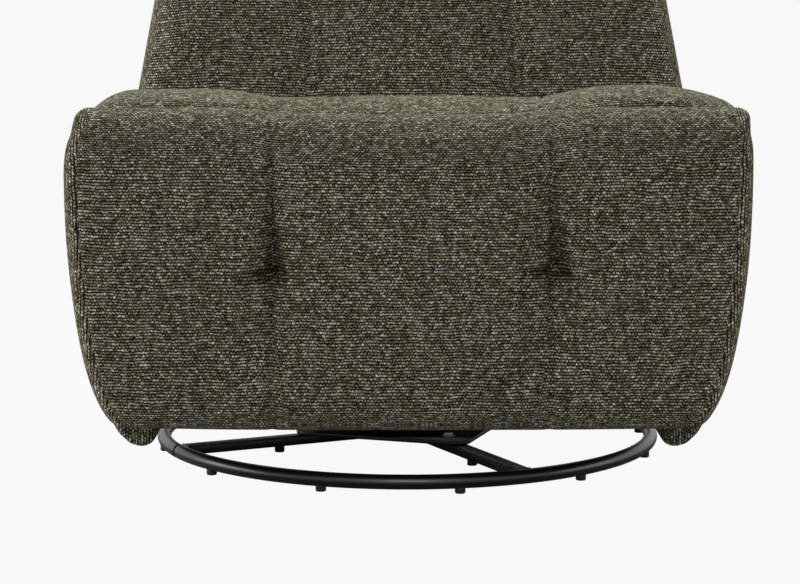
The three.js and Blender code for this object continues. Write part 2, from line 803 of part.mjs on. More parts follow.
// Footrest linkage: two bars in a chain reach the panel, solved as a triangle
const seatPivot = new THREE.Vector2(boardRear - footrestPivotBack, footrestPivotHeight);
const panelPivot = new THREE.Vector2(boardRear - bracketReach, boardTop - bracketDrop);
const reach = panelPivot.clone().sub(seatPivot);
const reachLength = reach.length();
const elbowCosine = (barALength ** 2 + reachLength ** 2 - barBLength ** 2) / (2 * barALength * reachLength);
const barAAngle = reach.angle() - Math.acos(elbowCosine);
const barADirection = new THREE.Vector2(Math.cos(barAAngle), Math.sin(barAAngle));
const elbow = seatPivot.clone().addScaledVector(barADirection, barALength);
const barBAngle = panelPivot.clone().sub(elbow).angle();
const barBDirection = new THREE.Vector2(Math.cos(barBAngle), Math.sin(barBAngle));
const lowerSeatPivot = new THREE.Vector2(seatPivot.x - barCPivotStep, seatPivot.y - barCPivotStep);
const barBTailEnd = elbow.clone().addScaledVector(barBDirection, -barBTail);
const barC = barBTailEnd.clone().sub(lowerSeatPivot);
const barDStart = seatPivot.clone().addScaledVector(barADirection, barALength * barDShare);
const upperPanelPivot = new THREE.Vector2(panelPivot.x, panelPivot.y + bracketUpperPivot);
const barD = upperPanelPivot.clone().sub(barDStart);

// A group whose forward axis points along an angle in the side view
function pivotGroup(parent, forward, up, angle) {
  const group = new THREE.Group();
  group.position.set(0, -forward, up);
  group.rotation.x = -angle;
  parent.add(group);
  return group;
}

function addFootrestMounts(seat) {
  for (const { side, word } of sides) {
    const shape = roundedRectangle(mountLength, mountHeight, barHalfWidth);
    const plate = sidePlate(shape, side, mountInner, barThickness);
    const middle = seatPivot.clone().add(lowerSeatPivot).divideScalar(2);
    plate.translate(0, -middle.x, middle.y);
    const root = mountInner + barThickness / 2;
    const upper = sidePin(side, barAInner + seatGap, root, barPinRadius, seatPivot.x, seatPivot.y);
    const lower = sidePin(side, barCInner - plateGap, root, barPinRadius, lowerSeatPivot.x, lowerSeatPivot.y);
    const headOuter = barCInner - plateGap;
    const head = sidePin(side, headOuter - rivetHeadHeight, headOuter, rivetHeadRadius,
      lowerSeatPivot.x, lowerSeatPivot.y);
    add(seat, `footrest_mount_${word}`, join(plate, upper, lower, head), looks.zincSteel);
  }
}

function addFootrest(seat) {
  const holeRadius = barPinRadius + pinGap;
  const groupA = pivotGroup(seat, seatPivot.x, seatPivot.y, barAAngle);
  const groupB = pivotGroup(groupA, barALength, 0, barBAngle - barAAngle);
  const groupC = pivotGroup(seat, lowerSeatPivot.x, lowerSeatPivot.y, barC.angle());
  const groupD = pivotGroup(groupA, barALength * barDShare, 0, barD.angle() - barAAngle);
  const panel = pivotGroup(groupB, barBLength, 0, -barBAngle);

  for (const { side, word } of sides) {
    const shapeA = barShape(0, barALength, barHalfWidth, [0], holeRadius);
    const rootA = barAInner + barThickness / 2;
    const elbowPin = sidePin(side, barBInner + seatGap, rootA, barPinRadius, barALength, 0);
    const endD = barDInner + barThickness - seatGap;
    const sidePinD = sidePin(side, rootA, endD, barPinRadius, barALength * barDShare, 0);
    const barA = join(sidePlate(shapeA, side, barAInner, barThickness), elbowPin, sidePinD);
    add(groupA, `footrest_bar_a_${word}`, barA, looks.zincSteel);

    const shapeB = barShape(-barBTail, barBLength, barHalfWidth, [0], holeRadius);
    const panelPin = sidePin(side, barBInner + barThickness / 2, barAInner + barThickness - seatGap,
      barPinRadius, barBLength, 0);
    add(groupB, `footrest_bar_b_${word}`, join(sidePlate(shapeB, side, barBInner, barThickness), panelPin),
      looks.zincSteel);

    const shapeC = barShape(0, barC.length(), barHalfWidth, [0], holeRadius);
    add(groupC, `footrest_bar_c_${word}`, sidePlate(shapeC, side, barCInner, barThickness), looks.zincSteel);

    const shapeD = barShape(0, barD.length(), barHalfWidth, [0], holeRadius);
    add(groupD, `footrest_bar_d_${word}`, sidePlate(shapeD, side, barDInner, barThickness), looks.zincSteel);

    addPanelBracket(panel, side, word, holeRadius);
  }

  const tube = new THREE.CylinderGeometry(torqueTubeRadius, torqueTubeRadius,
    2 * (barAInner - seatGap), 2 * smallRoundSides);
  tube.rotateZ(quarterTurn);
  add(groupA, 'torque_tube', tube, looks.zincSteel);
  addBoardAndPad(panel);
}

function addPanelBracket(panel, side, word, holeRadius) {
  const front = bracketReach - seatGap;
  const high = bracketUpperPivot + bracketMargin;
  const shape = new THREE.Shape();
  shape.absarc(0, 0, barHalfWidth, halfTurn, halfTurn + quarterTurn, false);
  shape.lineTo(front, -barHalfWidth);
  shape.lineTo(front, high);
  shape.lineTo(-barHalfWidth, high);
  shape.closePath();
  roundHole(shape, 0, 0, holeRadius);
  const flange = new THREE.BoxGeometry(bracketFlange, bracketFlangeThickness, high + barHalfWidth);
  flange.translate(
    side * (barAInner + barThickness - bracketFlange / 2),
    bracketFlangeThickness / 2 - front,
    (high - barHalfWidth) / 2,
  );
  add(panel, `footrest_bracket_${word}`, join(sidePlate(shape, side, barAInner, barThickness), flange),
    looks.zincSteel);
}

function boardGeometry(grow) {
  const shape = new THREE.Shape();
  shape.moveTo(-boardFootHalfWidth - grow, boardBottom - grow);
  shape.lineTo(boardFootHalfWidth + grow, boardBottom - grow);
  shape.lineTo(boardHalfWidth + grow, boardTop + grow);
  shape.lineTo(-boardHalfWidth - grow, boardTop + grow);
  shape.closePath();
  const board = extrude(shape, boardThickness + grow + (grow > 0 ? cutOverrun : 0));
  board.rotateX(quarterTurn);
  board.translate(0, -boardRear + (grow > 0 ? cutOverrun : 0), 0);
  return board;
}

function addBoardAndPad(panel) {
  const origin = new THREE.Vector3(0, panelPivot.x, -panelPivot.y);
  const board = add(panel, 'footrest_board', boardGeometry(0), looks.plywood);
  board.position.copy(origin);

  const seamShare = seamOffset / padHalfWidth;
  const pad = paddedSolid(padCells, (share) => {
    const section = sectionAt(share.x, seamShare);
    const up = (share.z + 1) / 2;
    const width = padHalfWidth - (padHalfWidth - padFootHalfWidth) * (1 - up) ** padTuckPower;
    const cornerDrop = padCornerDrop * section.across ** cornerPower;
    const topDip = padTopDip * (1 - section.across ** 2);
    const high = padTop - cornerDrop - topDip - padTopRound * share.y ** 2;
    const z = padBottom + (high - padBottom) * up;
    const x = section.across * (width - padCornerDrop * up ** rimPower);
    const edge = Math.max(section.across ** edgePower, share.z ** edgePower);
    const fromTuft = Math.hypot(Math.abs(x) - seamOffset, z - tuftHeight);
    const tuft = tuftDepth * Math.exp(-((fromTuft / tuftRadius) ** 2));
    const crease = (padSectionCrown + padCreaseDepth) * (1 - section.full);
    const forward = (1 - share.y) / 2;
    const inset = padEdgeDraw * edge + tuft + crease * (1 - edge);
    const y = -padRear - padThickness * forward + inset * forward ** 2;
    return { x, y, z };
  });
  const mesh = add(panel, 'footrest_pad', cut(pad, boardGeometry(seatGap)), looks.fabric);
  mesh.position.copy(origin);
}

// Release lever with its shaft through the side panel into the side frame
function addLever(seat) {
  const shape = new THREE.Shape();
  shape.absarc(0, 0, leverHalfWidth, quarterTurn, halfTurn + quarterTurn, false);
  shape.absarc(leverLength, 0, leverTipHalfWidth, -quarterTurn, quarterTurn, false);
  shape.closePath();
  const inner = leverOuter - leverThickness;
  const paddle = sidePlate(shape, -1, inner, leverThickness);
  const shaft = sidePin(-1, sideFrameInner + seatGap, inner + leverThickness / 2, leverShaftRadius, 0, 0);
  const lever = add(seat, 'release_lever', join(paddle, shaft), looks.blackSteel);
  lever.position.set(0, -leverPivotPlace, leverPivotHeight);
}

addRing();
addFeet();
addArms();
addCentrePlate();
addBearing();
addKingBolt();

const swivel = new THREE.Group();
model.add(swivel);
addSwivelPlate(swivel);
addGlidePlates(swivel);
addGlideLinks(swivel);

const seat = new THREE.Group();
swivel.add(seat);
addPlatform(seat);
addSideFrames(seat);
addRailAndDeck(seat);
addSidePanels(seat);
addRearPanel(seat);
addSeatCushion(seat);
addFootrestMounts(seat);
addFootrest(seat);
addLever(seat);

const back = new THREE.Group();
back.position.set(0, backHingePlace, backHingeHeight);
back.rotation.x = -backLean;
seat.add(back);
addBack(back);

export default model;
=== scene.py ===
import math

import bpy
import numpy as np
from mathutils import Matrix, Vector


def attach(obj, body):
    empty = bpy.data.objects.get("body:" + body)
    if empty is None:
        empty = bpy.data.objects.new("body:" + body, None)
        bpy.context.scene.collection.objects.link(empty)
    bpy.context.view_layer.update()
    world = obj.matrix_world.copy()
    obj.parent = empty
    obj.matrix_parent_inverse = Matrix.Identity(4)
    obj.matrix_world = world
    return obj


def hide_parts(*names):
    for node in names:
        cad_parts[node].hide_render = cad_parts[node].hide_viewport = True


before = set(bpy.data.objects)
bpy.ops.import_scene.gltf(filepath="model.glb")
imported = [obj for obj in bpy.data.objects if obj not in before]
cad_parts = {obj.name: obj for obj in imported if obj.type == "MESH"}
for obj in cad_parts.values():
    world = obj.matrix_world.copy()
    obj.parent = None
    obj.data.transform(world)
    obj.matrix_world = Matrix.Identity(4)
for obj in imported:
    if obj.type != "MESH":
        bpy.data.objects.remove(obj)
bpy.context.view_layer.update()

MM = 0.001


# Floor ring: two half rings of 19 mm round steel tube, bent on rollers and plugged together.
# They are dipped in glossy black paint, so the outside of each bend carries a long grey highlight.
RING_RADIUS = 340 * MM
TUBE_RADIUS = 9.5 * MM
RING_HEIGHT = 15.5 * MM
RING_JOINT_TURN = math.radians(153.9)
RING_JOINT_GAP = 2.6 * MM
RING_END_BEVEL = 0.7 * MM
RING_PLUG_RADIUS = 7.2 * MM
RING_PLUG_LENGTH = 24 * MM


def paint(code):
    """An sRGB hex colour as the linear colour that a shader takes."""
    values = [int(code[i:i + 2], 16) / 255 for i in (1, 3, 5)]
    linear = [v / 12.92 if v <= 0.04045 else ((v + 0.055) / 1.055) ** 2.4 for v in values]
    return (*linear, 1.0)


def add_node(tree, kind, links=None, **settings):
    """Adds a node, sets its properties and sockets, and links what feeds it."""
    made = tree.nodes.new(kind)
    for key, value in settings.items():
        setattr(made, key, value)
    for socket, value in (links or {}).items():
        if isinstance(value, bpy.types.NodeSocket):
            tree.links.new(value, made.inputs[socket])
        else:
            made.inputs[socket].default_value = value
    return made


def new_finish(name):
    """An empty material with its output and one shader for the finish."""
    finish = bpy.data.materials.new(name)
    finish.use_nodes = True
    tree = finish.node_tree
    tree.nodes.clear()
    shader = add_node(tree, "ShaderNodeBsdfPrincipled")
    add_node(tree, "ShaderNodeOutputMaterial", {"Surface": shader.outputs["BSDF"]})
    return finish, tree, shader


def dress(piece, finish):
    """Gives a new piece its finish."""
    piece.data.materials.clear()
    piece.data.materials.append(finish)


def repaint(names, finish):
    """Gives CAD nodes whose shape is right a finish."""
    for name in names:
        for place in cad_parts[name].material_slots:
            place.material = finish


def pick(piece):
    """Selects one piece alone for the next operator."""
    bpy.ops.object.select_all(action="DESELECT")
    piece.select_set(True)
    bpy.context.view_layer.objects.active = piece


def settle(piece, name):
    """Names a finished piece and puts its place into its mesh."""
    pick(piece)
    bpy.ops.object.transform_apply(location=True, rotation=True, scale=True)
    piece.name = name
    piece.data.name = name
    return piece


def round_edges(piece, width, segments=3, angle=30):
    """Breaks the sharp edges of a piece, as a tumbled or pressed part has them."""
    edge = piece.modifiers.new("edge", "BEVEL")
    edge.width = width
    edge.segments = segments
    edge.limit_method = "ANGLE"
    edge.angle_limit = math.radians(angle)
    pick(piece)
    bpy.ops.object.modifier_apply(modifier=edge.name)


def smooth(piece, angle):
    """Shades a piece smooth, but for its edges that are sharper than an angle."""
    pick(piece)
    bpy.ops.object.shade_smooth_by_angle(angle=math.radians(angle))


def cylinder(name, radius, height, place, sides=24, rotation=(0, 0, 0)):
    """An upright cylinder or prism about its middle, turned where a rotation is given."""
    bpy.ops.object.select_all(action="DESELECT")
    bpy.ops.mesh.primitive_cylinder_add(
        vertices=sides, radius=radius, depth=height, location=place, rotation=rotation)
    return settle(bpy.context.object, name)


def on_ring(radius, turn, height):
    """A place by its turn from the sitter's left towards the front."""
    return Vector((radius * math.cos(turn), -radius * math.sin(turn), height))


# Gloss paint over steel: a hard, near-black skin with slight waves of about 3 mm from dipping.
black_paint, tree, shader = new_finish("black gloss paint on steel")
place = add_node(tree, "ShaderNodeTexCoord").outputs["Object"]
waves = add_node(tree, "ShaderNodeTexNoise", {"Vector": place, "Scale": 320.0, "Detail": 2.0})
grime = add_node(tree, "ShaderNodeTexNoise", {"Vector": place, "Scale": 26.0, "Detail": 4.0})
dull = add_node(tree, "ShaderNodeMapRange", {"Value": grime.outputs["Fac"], "To Min": 0.3, "To Max": 0.44})
tone = add_node(tree, "ShaderNodeValToRGB", {"Fac": grime.outputs["Fac"]})
tone.color_ramp.elements[0].color = paint("#08080a")
tone.color_ramp.elements[1].color = paint("#121214")
skin = {"Height": waves.outputs["Fac"], "Strength": 0.12, "Distance": 0.0003}
skin = add_node(tree, "ShaderNodeBump", skin)
tree.links.new(tone.outputs["Color"], shader.inputs["Base Color"])
tree.links.new(dull.outputs["Result"], shader.inputs["Roughness"])
tree.links.new(skin.outputs["Normal"], shader.inputs["Normal"])
shader.inputs["IOR"].default_value = 1.5
shader.inputs["Coat Weight"].default_value = 0.2
shader.inputs["Coat Roughness"].default_value = 0.2

for name, side in (("ring_front", 1), ("ring_rear", -1)):
    bpy.ops.object.select_all(action="DESELECT")
    bpy.ops.mesh.primitive_torus_add(
        major_radius=RING_RADIUS, minor_radius=TUBE_RADIUS, major_segments=240, minor_segments=28,
        location=(0, 0, RING_HEIGHT))
    half = bpy.context.object
    settle(half, f"{name}_tube")
    across = on_ring(1, RING_JOINT_TURN - math.radians(90), 0) * side
    bpy.ops.object.mode_set(mode="EDIT")
    bpy.ops.mesh.select_all(action="SELECT")
    bpy.ops.mesh.bisect(
        plane_co=across * RING_JOINT_GAP, plane_no=across, clear_inner=True, use_fill=True)
    bpy.ops.object.mode_set(mode="OBJECT")
    round_edges(half, RING_END_BEVEL, angle=60)
    smooth(half, 50)
    dress(half, black_paint)
    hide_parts(name)
    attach(half, "base")

for number, turn in enumerate((RING_JOINT_TURN, RING_JOINT_TURN + math.pi), 1):
    plug = cylinder(
        f"ring_joint_plug_{number}", RING_PLUG_RADIUS, RING_PLUG_LENGTH,
        on_ring(RING_RADIUS, turn, RING_HEIGHT), sides=32, rotation=(math.radians(90), 0, -turn))
    smooth(plug, 50)
    dress(plug, black_paint)
    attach(plug, "base")


# Ring feet: twelve moulded rubber plugs, pressed up into holes under the tube.
FOOT_RADIUS = 6.75 * MM
FOOT_HEIGHT = 8.5 * MM
FOOT_FIRST_TURN = math.radians(18.9)
FOOT_COUNT = 12
FOOT_ROUND = 1.6 * MM

# Rubber: matt black with a fine grain of about 0.4 mm from the mould.
moulded_rubber, tree, shader = new_finish("moulded black rubber")
place = add_node(tree, "ShaderNodeTexCoord").outputs["Object"]
grain = add_node(tree, "ShaderNodeTexNoise", {"Vector": place, "Scale": 2500.0, "Detail": 2.0})
dust = add_node(tree, "ShaderNodeTexNoise", {"Vector": place, "Scale": 140.0, "Detail": 3.0})
tone = add_node(tree, "ShaderNodeValToRGB", {"Fac": dust.outputs["Fac"]})
tone.color_ramp.elements[0].color = paint("#0d0d0d")
tone.color_ramp.elements[1].color = paint("#1b1b1b")
skin = {"Height": grain.outputs["Fac"], "Strength": 0.25, "Distance": 0.0002}
skin = add_node(tree, "ShaderNodeBump", skin)
tree.links.new(tone.outputs["Color"], shader.inputs["Base Color"])
tree.links.new(skin.outputs["Normal"], shader.inputs["Normal"])
shader.inputs["Roughness"].default_value = 0.72
shader.inputs["IOR"].default_value = 1.52

first_foot = cylinder("ring_foot_first", FOOT_RADIUS, FOOT_HEIGHT, (0, 0, FOOT_HEIGHT / 2))
round_edges(first_foot, FOOT_ROUND, segments=4, angle=60)
smooth(first_foot, 50)
for index in range(FOOT_COUNT):
    foot = first_foot.copy()
    foot.data = first_foot.data.copy()
    bpy.context.collection.objects.link(foot)
    foot.location = on_ring(RING_RADIUS, FOOT_FIRST_TURN + index * math.tau / FOOT_COUNT, 0)
    settle(foot, f"ring_foot_plug_{index + 1:02d}")
    dress(foot, moulded_rubber)
    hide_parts(f"ring_foot_{index + 1:02d}")
    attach(foot, "base")
bpy.data.objects.remove(first_foot)


# Base arms: flat rectangular tube, 22 by 12.5 mm, one long and two short, crossed under the plate.
# They are welded to the ring, with a small bead round each end and a rubber plug under each arm.
ARM_TURN = math.radians(63.9)
ARM_REACH = 331.5 * MM
ARM_WIDTH = 22 * MM
ARM_LOW = 11.5 * MM
ARM_HIGH = 24 * MM
ARM_FOOT_PLACE = 195 * MM
ARM_FOOT_CLEAR = 2.4 * MM
ARM_FOOT_SUNK = 1 * MM
ARM_GAP = 11.3 * MM
ARM_ROUND = 2.2 * MM
BEAD_BEHIND = 3 * MM
BEAD_AHEAD = 1.2 * MM
BEAD_ASIDE = 1.6 * MM
BEAD_UNDER = 1.2 * MM
BEAD_OVER = 0.4 * MM
BEAD_ROUND = 1.9 * MM
BEAD_RIPPLE = 0.9 * MM
RIPPLE_PITCH = 4 * MM


def box_between(low, high):
    """A cube primitive sized to two corners."""
    bpy.ops.object.select_all(action="DESELECT")
    middle = [(a + b) / 2 for a, b in zip(low, high)]
    bpy.ops.mesh.primitive_cube_add(size=1, location=middle)
    piece = bpy.context.object
    piece.scale = [b - a for a, b in zip(low, high)]
    settle(piece, "block")
    return piece


def join_pieces(pieces, name):
    """Joins pieces into the first one."""
    bpy.ops.object.select_all(action="DESELECT")
    for piece in pieces:
        piece.select_set(True)
    bpy.context.view_layer.objects.active = pieces[0]
    bpy.ops.object.join()
    return settle(bpy.context.object, name)


def turn_about_z(piece, turn):
    piece.data.transform(Matrix.Rotation(-turn, 4, "Z"))


arms = (
    ("arm_long", ARM_TURN, -ARM_REACH, ARM_REACH, (-ARM_FOOT_PLACE, ARM_FOOT_PLACE)),
    ("arm_short_left", ARM_TURN - math.radians(90), ARM_GAP, ARM_REACH, (ARM_FOOT_PLACE,)),
    ("arm_short_right", ARM_TURN + math.radians(90), ARM_GAP, ARM_REACH, (ARM_FOOT_PLACE,)),
)
for name, turn, start, end, feet in arms:
    bar = box_between((start, -ARM_WIDTH / 2, ARM_LOW), (end, ARM_WIDTH / 2, ARM_HIGH))
    round_edges(bar, ARM_ROUND, segments=4)
    smooth(bar, 50)
    turn_about_z(bar, turn)
    settle(bar, f"{name}_tube")
    dress(bar, black_paint)
    plugs = []
    for place_along in feet:
        plug = cylinder(
            "plug", FOOT_RADIUS, ARM_LOW + ARM_FOOT_SUNK - ARM_FOOT_CLEAR,
            (place_along, 0, (ARM_LOW + ARM_FOOT_SUNK + ARM_FOOT_CLEAR) / 2))
        round_edges(plug, FOOT_ROUND, segments=4, angle=60)
        plugs.append(plug)
    plugs = join_pieces(plugs, f"{name}_plugs")
    smooth(plugs, 50)
    turn_about_z(plugs, turn)
    dress(plugs, moulded_rubber)
    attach(plugs, "base")
    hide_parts(name)
    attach(bar, "base")

beads = []
for index in range(4):
    bead = box_between(
        (ARM_REACH - BEAD_BEHIND, -ARM_WIDTH / 2 - BEAD_ASIDE, ARM_LOW - BEAD_UNDER),
        (ARM_REACH + BEAD_AHEAD, ARM_WIDTH / 2 + BEAD_ASIDE, ARM_HIGH + BEAD_OVER))
    round_edges(bead, BEAD_ROUND, segments=3)
    turn_about_z(bead, ARM_TURN + index * math.radians(90))
    beads.append(bead)
beads = join_pieces(beads, "weld_beads")
ripple_source = bpy.data.textures.new("weld ripple", "CLOUDS")
ripple_source.noise_scale = RIPPLE_PITCH
ripple = beads.modifiers.new("ripple", "DISPLACE")
ripple.texture = ripple_source
ripple.texture_coords = "LOCAL"
ripple.strength = BEAD_RIPPLE
bpy.ops.object.modifier_apply(modifier=ripple.name)
smooth(beads, 80)
dress(beads, black_paint)
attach(beads, "base")


# Centre plate: a 250 mm square of 6 mm steel plate, its corners over the crossed arms.
# Its corners and edges are rounded, and a bolt with a washer holds it down on each arm.
PLATE_HALF = 124.9 * MM
PLATE_LOW = 24.3 * MM
PLATE_HIGH = 30.3 * MM
PLATE_TURN = ARM_TURN - math.radians(45)
PLATE_CORNER = 22 * MM
PLATE_EDGE = 1.6 * MM
PLATE_BOLT_PLACE = 126 * MM
PLATE_BOLT_RADIUS = 6.5 * MM
PLATE_BOLT_HEIGHT = 5 * MM
WASHER_SHARE = 1.35
WASHER_THICKNESS_SHARE = 0.24


def hex_bolt(place, radius, height, name):
    """A hexagon head with a chamfered top on a washer."""
    head = cylinder(name, radius, height, place + Vector((0, 0, height / 2)), sides=6)
    round_edges(head, radius * 0.14, segments=2)
    washer = cylinder(
        "washer", radius * WASHER_SHARE, height * WASHER_THICKNESS_SHARE,
        place + Vector((0, 0, height * WASHER_THICKNESS_SHARE / 2)), sides=32)
    round_edges(washer, height * 0.05, segments=2)
    return join_pieces([head, washer], name)


plate = box_between((-PLATE_HALF, -PLATE_HALF, PLATE_LOW), (PLATE_HALF, PLATE_HALF, PLATE_HIGH))
corners = plate.modifiers.new("corners", "BEVEL")
corners.affect = "EDGES"
corners.limit_method = "WEIGHT"
corners.width = PLATE_CORNER
corners.segments = 8
weights = plate.data.attributes.new("bevel_weight_edge", "FLOAT", "EDGE")
for edge in plate.data.edges:
    ends = [plate.data.vertices[v].co for v in edge.vertices]
    upright = abs(ends[0].z - ends[1].z) > 1 * MM
    weights.data[edge.index].value = 1.0 if upright else 0.0
bpy.ops.object.modifier_apply(modifier=corners.name)
round_edges(plate, PLATE_EDGE, segments=3, angle=50)
smooth(plate, 45)
turn_about_z(plate, PLATE_TURN)
settle(plate, "centre_plate_pressing")
dress(plate, black_paint)
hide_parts("centre_plate")
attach(plate, "base")

# Zinc plate on steel: bright grey with a soft mottled bloom of about 6 mm and fine rolling lines.
zinc_plate, tree, shader = new_finish("bright zinc plate on steel")
place = add_node(tree, "ShaderNodeTexCoord").outputs["Object"]
bloom = add_node(tree, "ShaderNodeTexNoise", {"Vector": place, "Scale": 160.0, "Detail": 4.0})
tone = add_node(tree, "ShaderNodeValToRGB", {"Fac": bloom.outputs["Fac"]})
tone.color_ramp.elements[0].position = 0.3
tone.color_ramp.elements[0].color = paint("#8d9092")
tone.color_ramp.elements[1].position = 0.7
tone.color_ramp.elements[1].color = paint("#c2c4c2")
dull = add_node(tree, "ShaderNodeMapRange", {"Value": bloom.outputs["Fac"], "To Min": 0.46, "To Max": 0.3})
lines = add_node(tree, "ShaderNodeMapping", {"Vector": place, "Scale": (2600.0, 60.0, 60.0)})
rolling = {"Vector": lines.outputs["Vector"], "Scale": 1.0, "Detail": 2.0}
rolling = add_node(tree, "ShaderNodeTexNoise", rolling)
skin = {"Height": rolling.outputs["Fac"], "Strength": 0.08, "Distance": 0.0002}
skin = add_node(tree, "ShaderNodeBump", skin)
tree.links.new(tone.outputs["Color"], shader.inputs["Base Color"])
tree.links.new(dull.outputs["Result"], shader.inputs["Roughness"])
tree.links.new(skin.outputs["Normal"], shader.inputs["Normal"])
shader.inputs["Metallic"].default_value = 1.0

plate_bolts = []
for index in range(4):
    turn = ARM_TURN + index * math.radians(90)
    place_on_plate = on_ring(PLATE_BOLT_PLACE, turn, PLATE_HIGH)
    plate_bolts.append(
        hex_bolt(place_on_plate, PLATE_BOLT_RADIUS, PLATE_BOLT_HEIGHT, f"plate_bolt_{index + 1}"))
plate_bolts = join_pieces(plate_bolts, "plate_bolts")
smooth(plate_bolts, 35)
dress(plate_bolts, zinc_plate)
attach(plate_bolts, "base")
repaint(("bearing_ring", "king_bolt"), zinc_plate)


# Swivel and glide mechanism: pressed plates and flat links on shouldered rivets.
# The plates are painted with the base, the links and the rivets are zinc plated.
repaint(
    ("swivel_plate", "glide_plate_left", "glide_plate_right", "platform_rail_left",
     "platform_rail_right", "platform_beam_front", "platform_beam_rear"), black_paint)
repaint(
    [f"glide_link_{end}_{side}" for end in ("front", "rear") for side in ("left", "right")], zinc_plate)


UPPER_RIVET_PLACE = 142.1 * MM
LOWER_RIVET_PLACE = 144.1 * MM
RIVET_RADIUS = 8.5 * MM
RIVET_HEIGHT = 3 * MM
RIVET_DOME = RIVET_HEIGHT * 0.85
GLIDE_HIGH = 262 * MM
GLIDE_LOW = 100 * MM
GLIDE_SPREAD = 150 * MM


def rivet(place, side):
    """A domed rivet head, its flat face towards the middle of the chair."""
    middle = place + Vector((side * RIVET_HEIGHT / 2, 0, 0))
    head = cylinder("rivet", RIVET_RADIUS, RIVET_HEIGHT, middle, rotation=(0, math.radians(90), 0))
    round_edges(head, RIVET_DOME, segments=4, angle=60)
    return head


upper_rivets, lower_rivets = [], []
for side in (-1, 1):
    for along in (-GLIDE_SPREAD, GLIDE_SPREAD):
        upper_rivets.append(rivet(Vector((side * UPPER_RIVET_PLACE, along, GLIDE_HIGH)), side))
        lower_rivets.append(rivet(Vector((side * LOWER_RIVET_PLACE, along, GLIDE_LOW)), side))
for rivets, name, body in (
        (upper_rivets, "glide_rivets_upper", "swivel"), (lower_rivets, "glide_rivets_lower", "seat")):
    rivets = join_pieces(rivets, name)
    smooth(rivets, 50)
    dress(rivets, zinc_plate)
    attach(rivets, body)


# Seat box: side frames of 15 mm birch plywood, a solid front rail and a plywood deck, stapled.
# The plies show as thin darker lines, 1.9 mm apart, on every sawn edge, and the faces have a long,
# low-contrast grain.
PLY_PITCH = 1.9 * MM

birch_ply, tree, shader = new_finish("birch plywood")
place = add_node(tree, "ShaderNodeTexCoord").outputs["Object"]
stretch = add_node(tree, "ShaderNodeMapping", {"Vector": place, "Scale": (9.0, 9.0, 130.0)})
figure = {"Vector": stretch.outputs["Vector"], "Scale": 1.0, "Detail": 6.0, "Distortion": 0.6}
figure = add_node(tree, "ShaderNodeTexNoise", figure)
fibre_map = add_node(tree, "ShaderNodeMapping", {"Vector": place, "Scale": (60.0, 60.0, 1500.0)})
fibre = {"Vector": fibre_map.outputs["Vector"], "Scale": 1.0, "Detail": 2.0}
fibre = add_node(tree, "ShaderNodeTexNoise", fibre)
face_tone = add_node(tree, "ShaderNodeValToRGB", {"Fac": figure.outputs["Fac"]})
face_tone.color_ramp.elements[0].position = 0.32
face_tone.color_ramp.elements[0].color = paint("#a98556")
face_tone.color_ramp.elements[1].position = 0.68
face_tone.color_ramp.elements[1].color = paint("#d2b484")
axes = add_node(tree, "ShaderNodeSeparateXYZ", {"Vector": place})
across = add_node(tree, "ShaderNodeMath", {0: axes.outputs["X"], 1: 1 / PLY_PITCH}, operation="MULTIPLY")
plies = add_node(tree, "ShaderNodeMath", {0: across.outputs[0], 1: 2.0}, operation="PINGPONG")
ply_line = {"Value": plies.outputs[0], "From Min": 0.6, "From Max": 1.3}
ply_line = add_node(tree, "ShaderNodeMapRange", ply_line)
bare = add_node(tree, "ShaderNodeNewGeometry")
facing = add_node(tree, "ShaderNodeSeparateXYZ", {"Vector": bare.outputs["Normal"]})
flat_on = add_node(tree, "ShaderNodeMath", {0: facing.outputs["X"]}, operation="ABSOLUTE")
on_edge = add_node(tree, "ShaderNodeMath", {0: 1.0, 1: flat_on.outputs[0]}, operation="SUBTRACT")
edge_share = {0: on_edge.outputs[0], 1: ply_line.outputs[0]}
edge_share = add_node(tree, "ShaderNodeMath", edge_share, operation="MULTIPLY")
edge_part = add_node(tree, "ShaderNodeMath", {0: edge_share.outputs[0], 1: 0.55}, operation="MULTIPLY")
wood = add_node(tree, "ShaderNodeMix", {
    "Factor": edge_part.outputs[0], 6: face_tone.outputs["Color"], 7: paint("#6e4d2b")}, data_type="RGBA")
skin = {"Height": fibre.outputs["Fac"], "Strength": 0.2, "Distance": 0.0003}
skin = add_node(tree, "ShaderNodeBump", skin)
tree.links.new(wood.outputs[2], shader.inputs["Base Color"])
tree.links.new(skin.outputs["Normal"], shader.inputs["Normal"])
shader.inputs["Roughness"].default_value = 0.62
repaint(("front_rail", "seat_deck", "back_frame"), birch_ply)


# Side frames: the same plywood, cut to the chair's side. Their upper edges show behind the back,
# so they are coloured near black all over: painted shade for the dark gap there, not a stain.
# Painted shade: a near-black finish, with the wood's fibre, over the whole side frame.
shadow_black_wood, tree, shader = new_finish("black stain on wood")
place = add_node(tree, "ShaderNodeTexCoord").outputs["Object"]
stretch = add_node(tree, "ShaderNodeMapping", {"Vector": place, "Scale": (60.0, 60.0, 1500.0)})
fibre = {"Vector": stretch.outputs["Vector"], "Scale": 1.0, "Detail": 2.0}
fibre = add_node(tree, "ShaderNodeTexNoise", fibre)
shadow_tone = add_node(tree, "ShaderNodeValToRGB", {"Fac": fibre.outputs["Fac"]})
shadow_tone.color_ramp.elements[0].color = paint("#12110f")
shadow_tone.color_ramp.elements[1].color = paint("#2b2823")
tree.links.new(shadow_tone.outputs["Color"], shader.inputs["Base Color"])
shader.inputs["Roughness"].default_value = 0.7
repaint(("side_frame_left", "side_frame_right"), shadow_black_wood)


# Upholstery fabric: a boucle tweed, woven in weft rows 3.69 mm apart over a dark warp.
# Each weft yarn stands up in round loops 4.4 mm apart, half a loop further on in every other row.
# The yarns are dark olive, sand and a little blue grey, twisted together. Where a tuft or seam
# pulls the cover in deep, their colour is darkened: painted shade in the hollows.
ROW_PITCH = 3.69
LOOP_PITCH = 4.4
LOOP_RISE = 1.4 * MM

